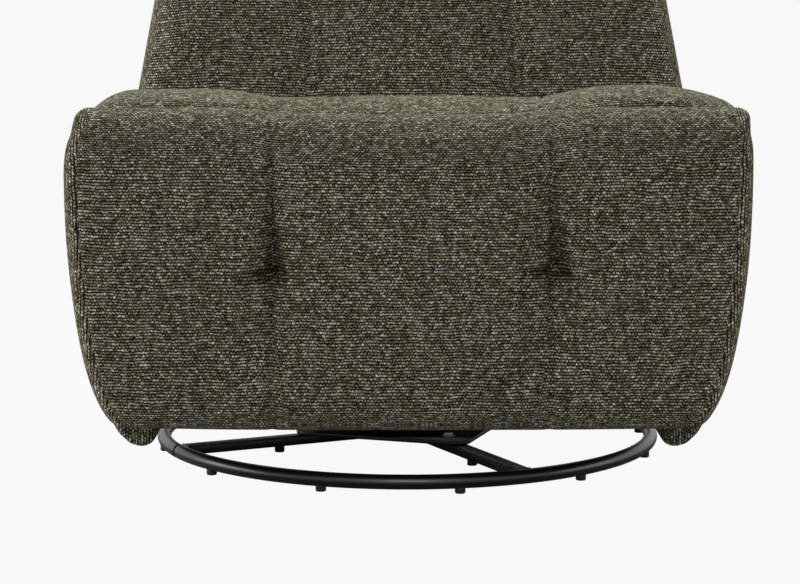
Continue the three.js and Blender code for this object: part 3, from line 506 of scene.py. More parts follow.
boucle, tree, shader = new_finish("boucle tweed upholstery fabric")
weave = add_node(tree, "ShaderNodeUVMap", uv_map="weave").outputs["UV"]
laid = weave
for scale, reach in ((0.02, (6.0, 4.0, 0.0)), (0.12, (2.8, 1.6, 0.0)), (0.36, (3.6, 2.3, 0.0))):
    drift = {"Vector": weave, "Scale": scale, "Detail": 1.0}
    drift = add_node(tree, "ShaderNodeTexNoise", drift, noise_dimensions="2D")
    centred = {0: drift.outputs["Color"], 1: (0.5, 0.5, 0.5)}
    centred = add_node(tree, "ShaderNodeVectorMath", centred, operation="SUBTRACT")
    moved = {0: centred.outputs[0], 1: reach, 2: laid}
    laid = add_node(tree, "ShaderNodeVectorMath", moved, operation="MULTIPLY_ADD").outputs[0]

pitches = (LOOP_PITCH, ROW_PITCH, 1.0)
cells = add_node(tree, "ShaderNodeVectorMath", {0: laid, 1: pitches}, operation="DIVIDE").outputs[0]
axes = add_node(tree, "ShaderNodeSeparateXYZ", {"Vector": cells})
row = add_node(tree, "ShaderNodeMath", {0: axes.outputs["Y"]}, operation="FLOOR").outputs[0]
staggered = {0: row, 1: 0.5, 2: axes.outputs["X"]}
along = add_node(tree, "ShaderNodeMath", staggered, operation="MULTIPLY_ADD").outputs[0]
loop = add_node(tree, "ShaderNodeMath", {0: along}, operation="FLOOR").outputs[0]
address = add_node(tree, "ShaderNodeCombineXYZ", {"X": loop, "Y": row}).outputs[0]
chance = add_node(tree, "ShaderNodeTexWhiteNoise", {"Vector": address}, noise_dimensions="2D")
yarn = add_node(tree, "ShaderNodeSeparateColor", {"Color": chance.outputs["Color"]})

in_loop = add_node(tree, "ShaderNodeCombineXYZ", {"X": along, "Y": axes.outputs["Y"]}).outputs[0]
in_loop = add_node(tree, "ShaderNodeVectorMath", {0: in_loop}, operation="FRACTION").outputs[0]
in_loop = add_node(
    tree, "ShaderNodeVectorMath", {0: in_loop, 1: (0.5, 0.5, 0.0)}, operation="SUBTRACT").outputs[0]
girth = {"Value": yarn.outputs["Red"], "To Min": 1.7, "To Max": 2.5}
girth = add_node(tree, "ShaderNodeMapRange", girth).outputs[0]
girth = add_node(tree, "ShaderNodeCombineXYZ", {"X": girth, "Y": 2.8}).outputs[0]
in_loop = add_node(tree, "ShaderNodeVectorMath", {0: in_loop, 1: girth}, operation="MULTIPLY").outputs[0]
away = add_node(tree, "ShaderNodeVectorMath", {0: in_loop, 1: in_loop}, operation="DOT_PRODUCT")
dome = {"Value": away.outputs["Value"], "To Min": 1.0, "To Max": 0.0}
dome = add_node(tree, "ShaderNodeMapRange", dome).outputs[0]

slow = {0: laid, 1: (0.05, 0.0, 0.0)}
slow = add_node(tree, "ShaderNodeVectorMath", slow, operation="MULTIPLY").outputs[0]
own_row = add_node(tree, "ShaderNodeCombineXYZ", {"Y": row}).outputs[0]
along_row = {0: own_row, 1: (0.0, 7.31, 0.0), 2: slow}
along_row = add_node(tree, "ShaderNodeVectorMath", along_row, operation="MULTIPLY_ADD").outputs[0]
tone = {0: yarn.outputs["Green"], 1: 0.58, 2: -0.32}
tone = add_node(tree, "ShaderNodeMath", tone, operation="MULTIPLY_ADD")
for source, scale, share in ((along_row, 1.0, 0.25), (laid, 0.05, 0.15), (laid, 1.1, 0.9)):
    noise = {"Vector": source, "Scale": scale, "Detail": 2.0}
    noise = add_node(tree, "ShaderNodeTexNoise", noise, noise_dimensions="2D")
    shifted = {0: noise.outputs["Fac"], 1: share, 2: tone.outputs[0]}
    tone = add_node(tree, "ShaderNodeMath", shifted, operation="MULTIPLY_ADD")
yarn_tone = add_node(tree, "ShaderNodeValToRGB", {"Fac": tone.outputs[0]})
yarn_tone.color_ramp.elements[0].color = paint("#3b3720")
yarn_tone.color_ramp.elements[1].color = paint("#fffdf2")
for share, code in ((0.3, "#736e52"), (0.6, "#b0ab8e"), (0.82, "#e2e1c8")):
    yarn_tone.color_ramp.elements.new(share).color = paint(code)
colour = yarn_tone.outputs["Color"]
for low, high, code in ((0.6, 0.9, "#8f8750"), (0.22, 0.04, "#7c7b82")):
    share = {"Value": yarn.outputs["Blue"], "From Min": low, "From Max": high, "To Max": 0.45}
    share = add_node(tree, "ShaderNodeMapRange", share).outputs[0]
    mixed = {"Factor": share, 6: colour, 7: paint(code)}
    colour = add_node(tree, "ShaderNodeMix", mixed, data_type="RGBA").outputs[2]
# Loops fade to near black at their edges: partly the dark warp, partly painted shade in the gaps.
depth = add_node(tree, "ShaderNodeMapRange", {"Value": dome, "From Max": 0.6, "To Min": 0.05}).outputs[0]
# Painted shade: the yarn colour sinks towards the dark ground where the cover is pulled in over 9 mm.
hollow_shade = add_node(tree, "ShaderNodeAttribute", attribute_name="pulled_in").outputs["Fac"]
hollow_shade = {"Value": hollow_shade, "From Min": 9.0, "From Max": 34.0, "To Min": 1.0, "To Max": 0.4}
hollow_shade = add_node(tree, "ShaderNodeMapRange", hollow_shade).outputs[0]
depth = add_node(tree, "ShaderNodeMath", {0: depth, 1: hollow_shade}, operation="MULTIPLY").outputs[0]
mixed = {"Factor": depth, 6: paint("#080703"), 7: colour}
cloth = add_node(tree, "ShaderNodeMix", mixed, data_type="RGBA").outputs[2]
fuzz = {0: noise.outputs["Fac"], 1: 0.3, 2: dome}
fuzz = add_node(tree, "ShaderNodeMath", fuzz, operation="MULTIPLY_ADD").outputs[0]
skin = add_node(tree, "ShaderNodeBump", {"Height": fuzz, "Strength": 0.75, "Distance": LOOP_RISE})
tree.links.new(cloth, shader.inputs["Base Color"])
tree.links.new(skin.outputs["Normal"], shader.inputs["Normal"])
shader.inputs["Roughness"].default_value = 0.92
shader.inputs["Specular IOR Level"].default_value = 0.04
shader.inputs["Sheen Weight"].default_value = 0.08
shader.inputs["Sheen Roughness"].default_value = 0.4
shader.inputs["Sheen Tint"].default_value = paint("#bdb48c")


def threads(low, high, step, seams=()):
    """Grid lines from low to high in mm, with closer ones beside each seam."""
    marks = {low, high}
    for seam in seams:
        marks.update(seam + beside for beside in (-6.0, -3.5, -1.7, 0.0, 1.7, 3.5, 6.0))
    marks = sorted(mark for mark in marks if low <= mark <= high)
    lines = []
    for start, end in zip(marks, marks[1:]):
        count = max(1, round((end - start) / step))
        lines.extend(np.linspace(start, end, count, endpoint=False))
    return np.array(lines + [high])


def sewn(name, xs, ys, zs, shape, weave_of):
    """A closed cover, from a grid on the six sides of a block that a shaping rule bends.
    Lengths are in mm. Each side of the block keeps the thread directions of its own cloth, and each
    cover and section is cut elsewhere from the roll, so no two show the same yarns."""
    number = -np.ones((len(xs), len(ys), len(zs)), int)
    on_skin = np.zeros(number.shape, bool)
    on_skin[[0, -1], :, :] = True
    on_skin[:, [0, -1], :] = True
    on_skin[:, :, [0, -1]] = True
    number[on_skin] = np.arange(on_skin.sum())
    i, j, k = np.nonzero(on_skin)
    block = np.stack([xs[i], ys[j], zs[k]], 1)
    grids = {
        "right": number[0, :, :].T, "left": number[-1, :, :], "front": number[:, 0, :],
        "rear": number[:, -1, :].T, "under": number[:, :, 0].T, "top": number[:, :, -1]}
    places = np.stack(shape(*block.T), 1)
    faces, laid_out = [], []
    for side, grid in grids.items():
        quads = np.stack([grid[:-1, :-1], grid[1:, :-1], grid[1:, 1:], grid[:-1, 1:]], -1).reshape(-1, 4)
        faces.append(quads)
        laid_out.append(np.stack(weave_of(side, block[quads], places[quads]), -1))
    faces = np.concatenate(faces)
    mesh = bpy.data.meshes.new(name)
    mesh.from_pydata((places * MM).tolist(), [], faces.tolist())
    layer = mesh.uv_layers.new(name="weave")
    layer.data.foreach_set("uv", np.concatenate(laid_out).reshape(-1).astype(np.float32))
    mesh.polygons.foreach_set("use_smooth", [True] * len(faces))
    mesh.update()
    piece = bpy.data.objects.new(name, mesh)
    bpy.context.collection.objects.link(piece)
    dress(piece, boucle)
    return piece, block


def read_mesh(piece, what):
    """The corner places or normals of a mesh as rows of three."""
    source = piece.data.vertices if what == "co" else piece.data.vertex_normals
    flat = np.zeros(len(piece.data.vertices) * 3)
    source.foreach_get(what, flat)
    return flat.reshape(-1, 3)


def draw_in(piece, depth):
    """Pulls the cover in along its normals by a depth in mm for each corner."""
    places = read_mesh(piece, "co") - read_mesh(piece, "vector") * (depth * MM)[:, None]
    piece.data.vertices.foreach_set("co", places.reshape(-1))
    pulled_in = piece.data.attributes.new("pulled_in", "FLOAT", "POINT")
    pulled_in.data.foreach_set("value", depth)
    piece.data.update()


def swell(piece, held, pressure, reach, frames=16):
    """The foam pushes the cover out: cloth under pressure, held where it is sewn or stapled."""
    group = piece.vertex_groups.new(name="held")
    group.add(np.nonzero(held)[0].tolist(), 1.0, "REPLACE")
    cloth = piece.modifiers.new("foam", "CLOTH")
    cloth.settings.quality = 4
    cloth.settings.mass = 0.3
    cloth.settings.tension_stiffness = 14
    cloth.settings.compression_stiffness = 14
    cloth.settings.shear_stiffness = 6
    cloth.settings.bending_stiffness = 0.6
    cloth.settings.use_pressure = True
    cloth.settings.uniform_pressure_force = pressure
    cloth.settings.effector_weights.gravity = 0
    cloth.settings.vertex_group_mass = group.name
    cloth.collision_settings.use_collision = False
    cloth.point_cache.frame_end = frames
    for number in range(1, frames + 1):
        bpy.context.scene.frame_set(number)
    swollen = piece.evaluated_get(bpy.context.evaluated_depsgraph_get())
    before = read_mesh(piece, "co")
    move = read_mesh(swollen, "co") - before
    size = np.linalg.norm(move, axis=1)
    move *= min(1.0, reach * MM / max(size.max(), MM))
    piece.modifiers.remove(cloth)
    piece.data.vertices.foreach_set("co", (before + move).reshape(-1))
    piece.data.update()
    bpy.context.scene.frame_set(1)


def finish_cover(piece, body, nodes):
    """Smooths a cover by one subdivision and hands it to the chair."""
    smoother = piece.modifiers.new("smooth", "SUBSURF")
    smoother.levels = 1
    pick(piece)
    bpy.ops.object.modifier_apply(modifier=smoother.name)
    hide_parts(*nodes)
    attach(piece, body)


def dip(distance, width):
    """A smooth hollow: 1 in its middle and fading over a width."""
    return np.exp(-(distance / width) ** 2)


def ease(value, start, end):
    """Rises smoothly from 0 at start to 1 at end."""
    share = np.clip((value - start) / (end - start), 0, 1)
    return share * share * (3 - 2 * share)


def round_edge(place, size, edge, radius):
    """Rounds one edge of a block in place. The edge is named by its two faces, such as "-y +z"."""
    depths = []
    for face in edge.split():
        axis = "xyz".index(face[1])
        depths.append(size[axis] - place[axis] if face[0] == "+" else place[axis].copy())
    first, second = depths
    near = (first < radius) & (second < radius)
    under = np.minimum(first, second)
    reach = np.maximum(radius - under, 1e-6)
    turn = math.radians(45) * (1 + np.clip((first - second) / reach, -1, 1))
    rounded = [under + reach * (1 - np.cos(turn)), under + reach * (1 - np.sin(turn))]
    for face, depth, new in zip(edge.split(), depths, rounded):
        axis = "xyz".index(face[1])
        depth = np.where(near, new, depth)
        place[axis] = size[axis] - depth if face[0] == "+" else depth


def rounded(x, y, z, size, rounds):
    """The places of a block's corners, with its edges rounded by their radii in mm."""
    place = [x.copy(), y.copy(), z.copy()]
    for edge, radius in rounds:
        round_edge(place, size, edge, radius)
    return place


# Side covers: boucle over thin foam, wrapped round each plywood side frame and stapled inside it.
# Their outline tucks in towards the floor. The rows of the weave run upright on them.
BODY_HALF = 419.5
BODY_LOW = 65.0
BODY_TUCK = 65.0
SHOULDER = 385.0
SIDE_FRONT = -361.5
SIDE_FACE = 345.4
SIDE_WRAP = 34.0
SIDE_EDGE_WRAP = 12.0
SIDE_BLOCK = (40.0, 699.0, SHOULDER - BODY_LOW)
SIDE_RIM = (10.0, 22.0)
SIDE_TOP_RIM = (8.0, 18.0)
SIDE_FOOT_RIM = (90.0, 104.0)
SIDE_SEAM = 27.0
SLOPE_START = 40.0
SLOPE_END = 130.0
SLOPE_DROP = 35.0


def body_half(z):
    """Half the width of the chair's body at a height."""
    share = np.clip((z - BODY_LOW) / (SHOULDER - BODY_LOW), 0, 1)
    return BODY_HALF - BODY_TUCK * (1 - share) ** 2.6


for side, word in ((1, "left"), (-1, "right")):
    outer, inner = ("+x", "-x") if side > 0 else ("-x", "+x")
    side_rounds = (
        (f"{outer} -y", 16), (f"{outer} +y", 16), (f"{outer} -z", 20), (f"{inner} -z", 18),
        (f"{outer} +z", 5))

    def side_shape(x, y, z):
        place = rounded(x, y, z, SIDE_BLOCK, side_rounds)
        width, length, height = SIDE_BLOCK
        share = (place[0] if side > 0 else width - place[0]) / width
        real_y = SIDE_FRONT + place[1]
        drop = SLOPE_DROP * np.clip((real_y - SLOPE_START) / (SLOPE_END - SLOPE_START), 0, 1)
        real_z = BODY_LOW + place[2] * (1 - drop / height)
        near, far = SIDE_RIM
        edge = np.maximum.reduce([
            ease(-y, -far, -near), ease(y, length - far, length - near),
            ease(z, height - SIDE_TOP_RIM[1], height - SIDE_TOP_RIM[0])
            * ease(real_y, SLOPE_START, SLOPE_END)])
        foot = ease(-real_z, -SIDE_FOOT_RIM[1], -SIDE_FOOT_RIM[0])
        start = SIDE_FACE - np.maximum(SIDE_WRAP * foot, SIDE_EDGE_WRAP * edge)
        return side * (start + (body_half(real_z) - start) * share), real_y, real_z

    def side_weave(part, block, place):
        around = block[..., 1] + (side * block[..., 0] if part == "front" else 0)
        if part in ("under", "top"):
            return place[..., 1], place[..., 0]
        return place[..., 2] + 900 * side, around if part != "front" else place[..., 0]

    cover, block = sewn(
        f"side_cover_{word}", threads(0, SIDE_BLOCK[0], 4),
        threads(0, SIDE_BLOCK[1], 9, seams=(20,)), threads(0, SIDE_BLOCK[2], 8), side_shape, side_weave)
    depth = block[:, 0] if side > 0 else SIDE_BLOCK[0] - block[:, 0]
    outside = depth > SIDE_BLOCK[0] - 0.5
    stapled = ~outside | (block[:, 1] < 18) | (block[:, 1] > 680) | (block[:, 2] < 20)
    swell(cover, stapled, pressure=1.2, reach=4)
    front = block[:, 1] < 0.5
    draw_in(cover, 2.6 * dip(depth - SIDE_SEAM, 2.4) * front)
    finish_cover(cover, "seat", [f"side_panel_{word}"])


# Rear cover: a flat panel of thin foam under boucle, stapled over the back of the seat box.
# It follows the outline of the side covers and stays 8 mm inside it.
REAR_BLOCK = (800.0, 23.0, 265.0)
REAR_START = 338.6
REAR_LOW = 80.0
REAR_ROUNDS = tuple((edge, 13) for edge in ("-x +y", "+x +y", "+y -z", "+y +z"))
REAR_INSIDE = 8.0
REAR_RIM = 12.0


def rear_shape(x, y, z):
    place = rounded(x, y, z, REAR_BLOCK, REAR_ROUNDS)
    real_z = REAR_LOW + place[2]
    across = place[0] / REAR_BLOCK[0] * 2 - 1
    return across * (body_half(real_z) - REAR_INSIDE), REAR_START + place[1], real_z


def rear_weave(part, block, place):
    if part in ("left", "right"):
        return place[..., 2], place[..., 1]
    return place[..., 0] + 3000, place[..., 2] + place[..., 1]


rear_cover, block = sewn(
    "rear_cover", threads(0, REAR_BLOCK[0], 11), threads(0, REAR_BLOCK[1], 5),
    threads(0, REAR_BLOCK[2], 11), rear_shape, rear_weave)
aside = np.abs(block[:, 0] - REAR_BLOCK[0] / 2) > REAR_BLOCK[0] / 2 - REAR_RIM
aloft = np.abs(block[:, 2] - REAR_BLOCK[2] / 2) > REAR_BLOCK[2] / 2 - 10
swell(rear_cover, (block[:, 1] < REAR_BLOCK[1] - 0.5) | aside | aloft, pressure=1.2, reach=5)
finish_cover(rear_cover, "seat", ["rear_panel"])


# Seat cushion: a deep foam block under boucle, in three sections with sunk seams between them.
# Its nose rolls down behind the footrest panel, and its sides fall away to the side covers. The
# sitter's left shoulder is filled a little fuller than the right one and falls more slowly.
SEAT_BLOCK = (2 * BODY_HALF, 410.0, 100.0)
SEAT_FRONT = -360.0
SEAT_LOW = 385.4
SEAT_SEAM = 169.0
SEAT_THICK_FRONT = 119.0
SEAT_THICK_REAR = 72.0
SEAT_SIDE_RISE = 11.0
SEAT_FULLER = 5.6
SEAT_FALL = 22.6
SEAT_FALL_START = 300.0
SEAT_FALL_REACH = 111.0
SEAT_NOSE = 120.0
SEAT_NOSE_DROP = 26.0
SEAT_ROUNDS = (
    ("-x -y", 20), ("+x -y", 20), ("-y +z", 20), ("-x +z", 74), ("+x +z", 22), ("+y +z", 8))
LEAN = math.radians(18)


def seat_shape(x, y, z):
    place = rounded(x, y, z, SEAT_BLOCK, SEAT_ROUNDS)
    real_x = place[0] - BODY_HALF
    back = place[1] / SEAT_BLOCK[1]
    thick = SEAT_THICK_FRONT + (SEAT_THICK_REAR - SEAT_THICK_FRONT) * back
    thick = thick + SEAT_SIDE_RISE * ease(np.abs(real_x), 115, 255)
    thick = thick + SEAT_FULLER * ease(real_x, 170, 295)
    thick = thick - SEAT_FALL * (np.maximum(real_x - SEAT_FALL_START, 0) / SEAT_FALL_REACH) ** 2
    thick = thick - SEAT_NOSE_DROP * np.clip(1 - place[1] / SEAT_NOSE, 0, 1) ** 1.7
    up = place[2] / SEAT_BLOCK[2]
    lean = math.tan(LEAN) * thick * up * back
    return real_x, SEAT_FRONT + place[1] + lean, SEAT_LOW + thick * up


seat_seams = (BODY_HALF - SEAT_SEAM, BODY_HALF + SEAT_SEAM)


def seat_weave(part, block, place):
    if part in ("left", "right"):
        return place[..., 2], place[..., 1] + 700
    section = np.searchsorted(seat_seams, block[..., 0].mean(-1, keepdims=True))
    return place[..., 0] + 37 + 160 * section, block[..., 2] + block[..., 1] + 150 + 51.7 * section


seat_cover, block = sewn(
    "seat_cover", threads(0, SEAT_BLOCK[0], 8, seams=seat_seams), threads(0, SEAT_BLOCK[1], 8),
    threads(0, SEAT_BLOCK[2], 6), seat_shape, seat_weave)
from_seam = np.abs(np.abs(block[:, 0] - BODY_HALF) - SEAT_SEAM)
on_top = block[:, 2] > 99.5
sewn_down = on_top & (from_seam < 1) & (block[:, 1] > 70)
swell(seat_cover, (block[:, 2] < 0.5) | (block[:, 1] > 409.5) | sewn_down, pressure=1.6, reach=4)
further_back = ease(block[:, 1], 20, 150) * on_top
draw_in(seat_cover, (1.2 + 2.0 * further_back) * dip(from_seam, 3.0) * (block[:, 2] > 40)
        + 2.0 * dip(from_seam, 30) * further_back)
finish_cover(seat_cover, "seat", ["seat_cushion"])


# Back cushion: a thick foam cushion in three tapering sections, on a frame that leans back 18 degrees.
# It hinges on two pins low in the side frames, and its seams are sunk between full sections.
HINGE_Y = 185.0
HINGE_Z = 320.0
BACK_BLOCK = (800.0, 120.0, 612.0)
BACK_FRONT = -141.7
BACK_TOP = 694.0
BACK_FOOT_HALF = 414.0
BACK_TAPER = 106.0
BACK_SEAM = 152.0
BACK_ASIDE = 5.0
BACK_LOW = 80.0
BACK_CROWN = 8.0
BACK_MIDDLE = BACK_BLOCK[0] / 2
BACK_ROUNDS = (
    ("-x -y", 44), ("+x -y", 44), ("-y +z", 52), ("-y -z", 12), ("-x +z", 40), ("+x +z", 40),
    ("+y +z", 12))


def leaning(across, depth, up):
    """From the back's own upright frame to the chair's, in mm."""
    real_y = HINGE_Y + depth * math.cos(LEAN) + up * math.sin(LEAN)
    real_z = HINGE_Z + up * math.cos(LEAN) - depth * math.sin(LEAN)
    return across + BACK_ASIDE, real_y, real_z


def back_half(up):
    """Half the width of the back at a distance up its frame."""
    return BACK_FOOT_HALF - BACK_TAPER * up / BACK_TOP


def back_shape(x, y, z):
    place = rounded(x, y, z, BACK_BLOCK, BACK_ROUNDS)
    depth = BACK_FRONT + place[1]
    low = (BACK_LOW + depth * math.sin(LEAN)) / math.cos(LEAN)
    across = place[0] / BACK_BLOCK[0] * 2 - 1
    crown = BACK_CROWN * (1 - np.abs(across) ** 4)
    up = low + (BACK_TOP - BACK_CROWN + crown - low) * place[2] / BACK_BLOCK[2]
    return leaning(across * back_half(up), depth, up)


back_seams = (BACK_MIDDLE - BACK_SEAM, BACK_MIDDLE + BACK_SEAM)


def back_weave(part, block, place):
    if part in ("left", "right"):
        return block[..., 2] + 20, block[..., 1] + 900
    section = np.searchsorted(back_seams, block[..., 0].mean(-1, keepdims=True))
    return place[..., 0] + 11 + 230 * section, block[..., 2] + block[..., 1] + 211 + 31.3 * section


back_pillow, block = sewn(
    "back_pillow", threads(0, BACK_BLOCK[0], 9, seams=back_seams),
    threads(0, BACK_BLOCK[1], 8), threads(0, BACK_BLOCK[2], 9), back_shape, back_weave)
from_seam = np.abs(np.abs(block[:, 0] - BACK_MIDDLE) - BACK_SEAM)
on_front = block[:, 1] < 0.5
sewn_down = on_front & (from_seam < 1)
swell(back_pillow, (block[:, 1] > 119.5) | sewn_down | (block[:, 2] < 1), pressure=1.6, reach=7)
draw_in(back_pillow, 3.0 * dip(from_seam, 3.2) * (block[:, 1] < 40) + 5.0 * dip(from_seam, 32) * on_front)
finish_cover(back_pillow, "back", ["back_cushion"])


# Outside back: boucle over a thin pad, wrapped round the frame to meet the cushion.
# It is stapled along its foot, and its upper corners are rounded like the cushion's.
OUTSIDE_BLOCK = (800.0, 66.0, 574.0)
OUTSIDE_START = -21.2
OUTSIDE_LOW = 98.0
OUTSIDE_INSIDE = 5.0
OUTSIDE_ROUNDS = (
    ("-x +y", 26), ("+x +y", 26), ("+y +z", 28), ("+y -z", 8), ("-x +z", 34), ("+x +z", 34))


def outside_shape(x, y, z):
    place = rounded(x, y, z, OUTSIDE_BLOCK, OUTSIDE_ROUNDS)
    up = OUTSIDE_LOW + place[2]
    across = place[0] / OUTSIDE_BLOCK[0] * 2 - 1
    return leaning(across * (back_half(up) - OUTSIDE_INSIDE), OUTSIDE_START + place[1], up)


def outside_weave(part, block, place):
    if part in ("left", "right"):
        return block[..., 2], block[..., 1] + 400
    return place[..., 0] + 2000, block[..., 2] + block[..., 1]


outside_back, block = sewn(
    "outside_back", threads(0, OUTSIDE_BLOCK[0], 12), threads(0, OUTSIDE_BLOCK[1], 7),
    threads(0, OUTSIDE_BLOCK[2], 12), outside_shape, outside_weave)
swell(outside_back, (block[:, 1] < 20) | (block[:, 2] < 8), pressure=1.2, reach=5)
finish_cover(outside_back, "back", ["back_cover"])
repaint(("back_bracket_left", "back_bracket_right"), zinc_plate)


# Footrest panel: boucle over foam on a plywood board, the whole front of the chair when closed.
# It has two upright seams, a tuft sunk on each, and a side seam just inside its edge.
PAD_BLOCK = (830.0, 64.0, 388.0)
PAD_FRONT = -430.0
PAD_LOW = 97.5
PAD_WIDEST = 405.0
PAD_HALF = 414.7
PAD_DEEPEST = 45.0
PAD_BELLY = 2.5
PAD_SAG = 8.0
PAD_TAPER = 34.0
PAD_FOOT_TUCK = 22.0
PAD_BORDER = 15.0
PAD_BORDER_GROOVE = 2.8
PAD_GROOVE = 6.5
PAD_GROOVE_ON_TOP = 2.0
PAD_VALLEY = 8.0
PAD_DIMPLE = 12.0
PAD_TUFT = 17.0
PAD_SIDE_CREASE = 26.0
PAD_UPPER_CREASE = 22.0
PAD_BORDER_FADE = (410.0, 460.0)
PAD_VALLEY_RISE = (110.0, 250.0)
PAD_VALLEY_FADE = (410.0, 480.0)
PAD_GROOVE_RISE = (100.0, 125.0)
PAD_GROOVE_FADE = (420.0, 470.0)
PAD_SEAMS = (-166.0, 172.0)
TUFTS = ((-161.5, 293.0), (182.0, 296.0))
PAD_MIDDLE = PAD_BLOCK[0] / 2
PAD_ROUNDS = (
    ("-x -y", 26), ("+x -y", 26), ("-x +y", 8), ("+x +y", 8), ("-y +z", 56), ("-y -z", 24),
    ("+y +z", 6), ("+y -z", 8), ("-x +z", 9), ("+x +z", 8), ("-x -z", 14), ("+x -z", 14))


def pad_half(x, z):
    """Half the panel's width: it draws in slowly, then faster, to its foot, and rounds off on top,
    a little more on the sitter's right, where the hand-sewn corner pulled."""
    below = np.clip((PAD_WIDEST - z) / (PAD_WIDEST - PAD_LOW), 0, 1)
    above = np.clip((z - PAD_WIDEST) / 82, 0, 1)
    corner = np.where(x < 0, 18 * above ** 2, 6 * above ** 3)
    return PAD_HALF - PAD_TAPER * below ** 2 - PAD_FOOT_TUCK * below ** 8 - corner


def pad_shape(x, y, z):
    place = rounded(x, y, z, PAD_BLOCK, PAD_ROUNDS)
    across = place[0] / PAD_BLOCK[0] * 2 - 1
    real_z = PAD_LOW + place[2]
    real_x = across * pad_half(across, real_z)
    sag = PAD_SAG * (1 - ease(np.abs(real_x), 80, 250)) * ease(real_z, 300, 487)
    sag = sag + PAD_BELLY * (1 - np.abs(across) ** 3) * (1 - ease(real_z, 97, 200))
    return real_x, PAD_FRONT + place[1], real_z - sag


pad_seams = [PAD_MIDDLE + seam * PAD_MIDDLE / PAD_HALF for seam in PAD_SEAMS]
pad_seams = [PAD_BORDER] + pad_seams + [PAD_BLOCK[0] - PAD_BORDER]


def pad_weave(part, block, place):
    if part in ("left", "right"):
        return place[..., 2], block[..., 1] + 300
    section = np.searchsorted(pad_seams, block[..., 0].mean(-1, keepdims=True))
    border = (section == 0) | (section == 4)
    along, across = place[..., 0] + 140 * section, block[..., 2] + block[..., 1] + 41.9 * section
    return np.where(border, across, along), np.where(border, along, across)


pad, block = sewn(
    "footrest_cover", threads(0, PAD_BLOCK[0], 5, seams=pad_seams),
    threads(0, PAD_BLOCK[1], 5), threads(0, PAD_BLOCK[2], 5), pad_shape, pad_weave)
on_front = block[:, 1] < 0.5
flat = read_mesh(pad, "co") / MM
from_tufts = np.minimum(*[np.hypot(flat[:, 0] - x, flat[:, 2] - z) for x, z in TUFTS])
swell(pad, (block[:, 1] > 48) | (on_front & (from_tufts < 6)), pressure=1.4, reach=6)
height = flat[:, 2]
border = dip(np.abs(block[:, 0] - PAD_MIDDLE) - (PAD_MIDDLE - PAD_BORDER), 2.6)
pull = PAD_BORDER_GROOVE * border * (block[:, 1] < 30) * (1 - ease(height, *PAD_BORDER_FADE))
for (tuft_x, tuft_z), seam in zip(TUFTS, PAD_SEAMS):
    from_seam = flat[:, 0] - seam
    across, up = flat[:, 0] - tuft_x, height - tuft_z
    valley = (0.3 + 0.7 * ease(height, *PAD_VALLEY_RISE)) * (1 - ease(height, *PAD_VALLEY_FADE))
    groove = PAD_GROOVE - (PAD_GROOVE - PAD_GROOVE_ON_TOP) * ease(height, *PAD_GROOVE_FADE)
    groove = groove * dip(from_seam, 3.0) * (0.2 + 0.8 * ease(height, *PAD_GROOVE_RISE))
    pull = pull + groove * (block[:, 1] < 60)
    from_tuft = np.hypot(across, up)
    # One crease bends down to the sitter's right of the tuft, the other runs up from it
    side_crease = dip(up + 5 + 0.004 * (across + 14) ** 2, 5.0) * dip(across + 18, 26)
    upper_crease = dip(across + 0.0016 * up * up, 6.5) * dip(up - 30, 38) * ease(up, -10, 4)
    pull = pull + on_front * (
        PAD_VALLEY * valley * dip(from_seam, 22) + PAD_DIMPLE * dip(from_tuft, 32)
        + PAD_TUFT * dip(from_tuft, 8.5)
        + PAD_SIDE_CREASE * side_crease + PAD_UPPER_CREASE * upper_crease)
draw_in(pad, PAD_DEEPEST * np.tanh(pull / PAD_DEEPEST))
finish_cover(pad, "footrest", ["footrest_pad"])
repaint(("footrest_board",), birch_ply)


# Footrest linkage: flat bars in scissor pairs on each side, joined by a torque tube.
# They are punched from 4.5 mm steel and zinc plated, and every pivot is a rivet.
repaint(
    [f"footrest_bar_{bar}_{side}" for bar in "abcd" for side in ("left", "right")]
    + [f"footrest_{kind}_{side}" for kind in ("mount", "bracket") for side in ("left", "right")]
    + ["torque_tube"], zinc_plate)


# Release lever: a flat steel paddle on a round shaft, on the sitter's right.
# It is painted black like the base.
repaint(("release_lever",), black_paint)


# Photo studio: a pale sweep that the camera sees as near white, and four broad soft lamps.
# Most of the light comes from above and behind, so the top edges shine and the front stays dark.
SWEEP_TONE = "#f8f8f8"
SWEEP_GLOW = 0.97
CAMERA_PLACE = (-0.0102, -3.0228, 0.6016)
CAMERA_TILT = math.radians(7.345)
CAMERA_LENS = 98.19

sweep_paper, tree, shader = new_finish("pale studio paper")
shader.inputs["Base Color"].default_value = paint("#bcbcbc")
shader.inputs["Roughness"].default_value = 0.9
glow = add_node(tree, "ShaderNodeEmission", {"Color": paint(SWEEP_TONE), "Strength": 1.0 / SWEEP_GLOW})
lit = add_node(tree, "ShaderNodeMixShader", {0: SWEEP_GLOW, 1: shader.outputs["BSDF"], 2: glow.outputs[0]})
rays = add_node(tree, "ShaderNodeLightPath")
seen = {0: rays.outputs["Is Camera Ray"], 1: rays.outputs["Is Transmission Ray"]}
seen = add_node(tree, "ShaderNodeMath", seen, operation="MAXIMUM")
chosen = {0: seen.outputs[0], 1: shader.outputs["BSDF"], 2: lit.outputs[0]}
chosen = add_node(tree, "ShaderNodeMixShader", chosen)
output = next(node for node in tree.nodes if node.type == "OUTPUT_MATERIAL")
tree.links.new(chosen.outputs[0], output.inputs["Surface"])
bpy.ops.object.select_all(action="DESELECT")
bpy.ops.mesh.primitive_plane_add(size=24, location=(0, 0, -0.0005))
floor = bpy.context.object
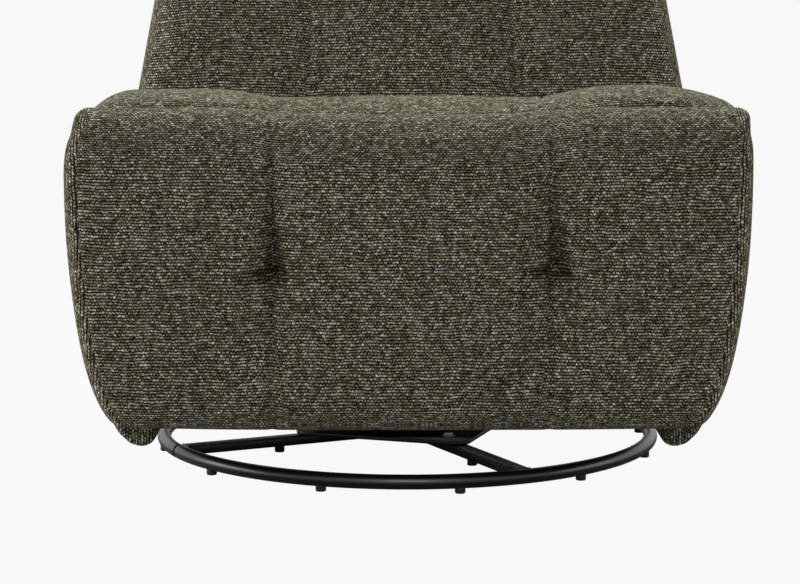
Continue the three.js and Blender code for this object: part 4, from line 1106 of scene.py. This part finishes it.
floor.name = "studio_floor"
floor.data.materials.append(sweep_paper)

world = bpy.data.worlds.new("studio")
bpy.context.scene.world = world
world.use_nodes = True
tree = world.node_tree
tree.nodes.clear()
rays = add_node(tree, "ShaderNodeLightPath")
soft = add_node(tree, "ShaderNodeBackground", {"Color": paint("#ffffff"), "Strength": 0.02})
backdrop = add_node(tree, "ShaderNodeBackground", {"Color": paint(SWEEP_TONE), "Strength": 1.0})
seen = rays.outputs["Is Camera Ray"]
for kind in ("Is Glossy Ray", "Is Transmission Ray"):
    seen = {0: seen, 1: rays.outputs[kind]}
    seen = add_node(tree, "ShaderNodeMath", seen, operation="MAXIMUM").outputs[0]
mixed = {0: seen, 1: soft.outputs[0], 2: backdrop.outputs[0]}
mixed = add_node(tree, "ShaderNodeMixShader", mixed)
add_node(tree, "ShaderNodeOutputWorld", {"Surface": mixed.outputs[0]})


def lamp(name, place, target, size, power):
    """A square soft box, aimed at a point."""
    data = bpy.data.lights.new(name, "AREA")
    data.shape = "SQUARE"
    data.size = size
    data.energy = power
    light = bpy.data.objects.new(name, data)
    bpy.context.collection.objects.link(light)
    light.location = place
    light.rotation_euler = (Vector(target) - Vector(place)).to_track_quat("-Z", "Y").to_euler()


lamp("overhead softbox", (0.0, 1.2, 2.8), (0, 0, 0.4), 2.0, 92)
lamp("left softbox", (-2.8, -0.4, 1.1), (0, -0.2, 0.4), 1.8, 50)
lamp("right softbox", (2.8, -0.4, 1.1), (0, -0.2, 0.4), 1.8, 21)
lamp("front softbox", (0.0, -2.3, 1.05), (0, 0, 0.35), 0.7, 10)

camera_data = bpy.data.cameras.new("camera")
camera_data.sensor_fit = "HORIZONTAL"
camera_data.sensor_width = 36.0
camera_data.lens = CAMERA_LENS
camera = bpy.data.objects.new("camera", camera_data)
bpy.context.collection.objects.link(camera)
camera.location = CAMERA_PLACE
camera.rotation_euler = (math.radians(90) - CAMERA_TILT, 0, 0)
bpy.context.scene.camera = camera
bpy.context.scene.view_settings.view_transform = "Standard"
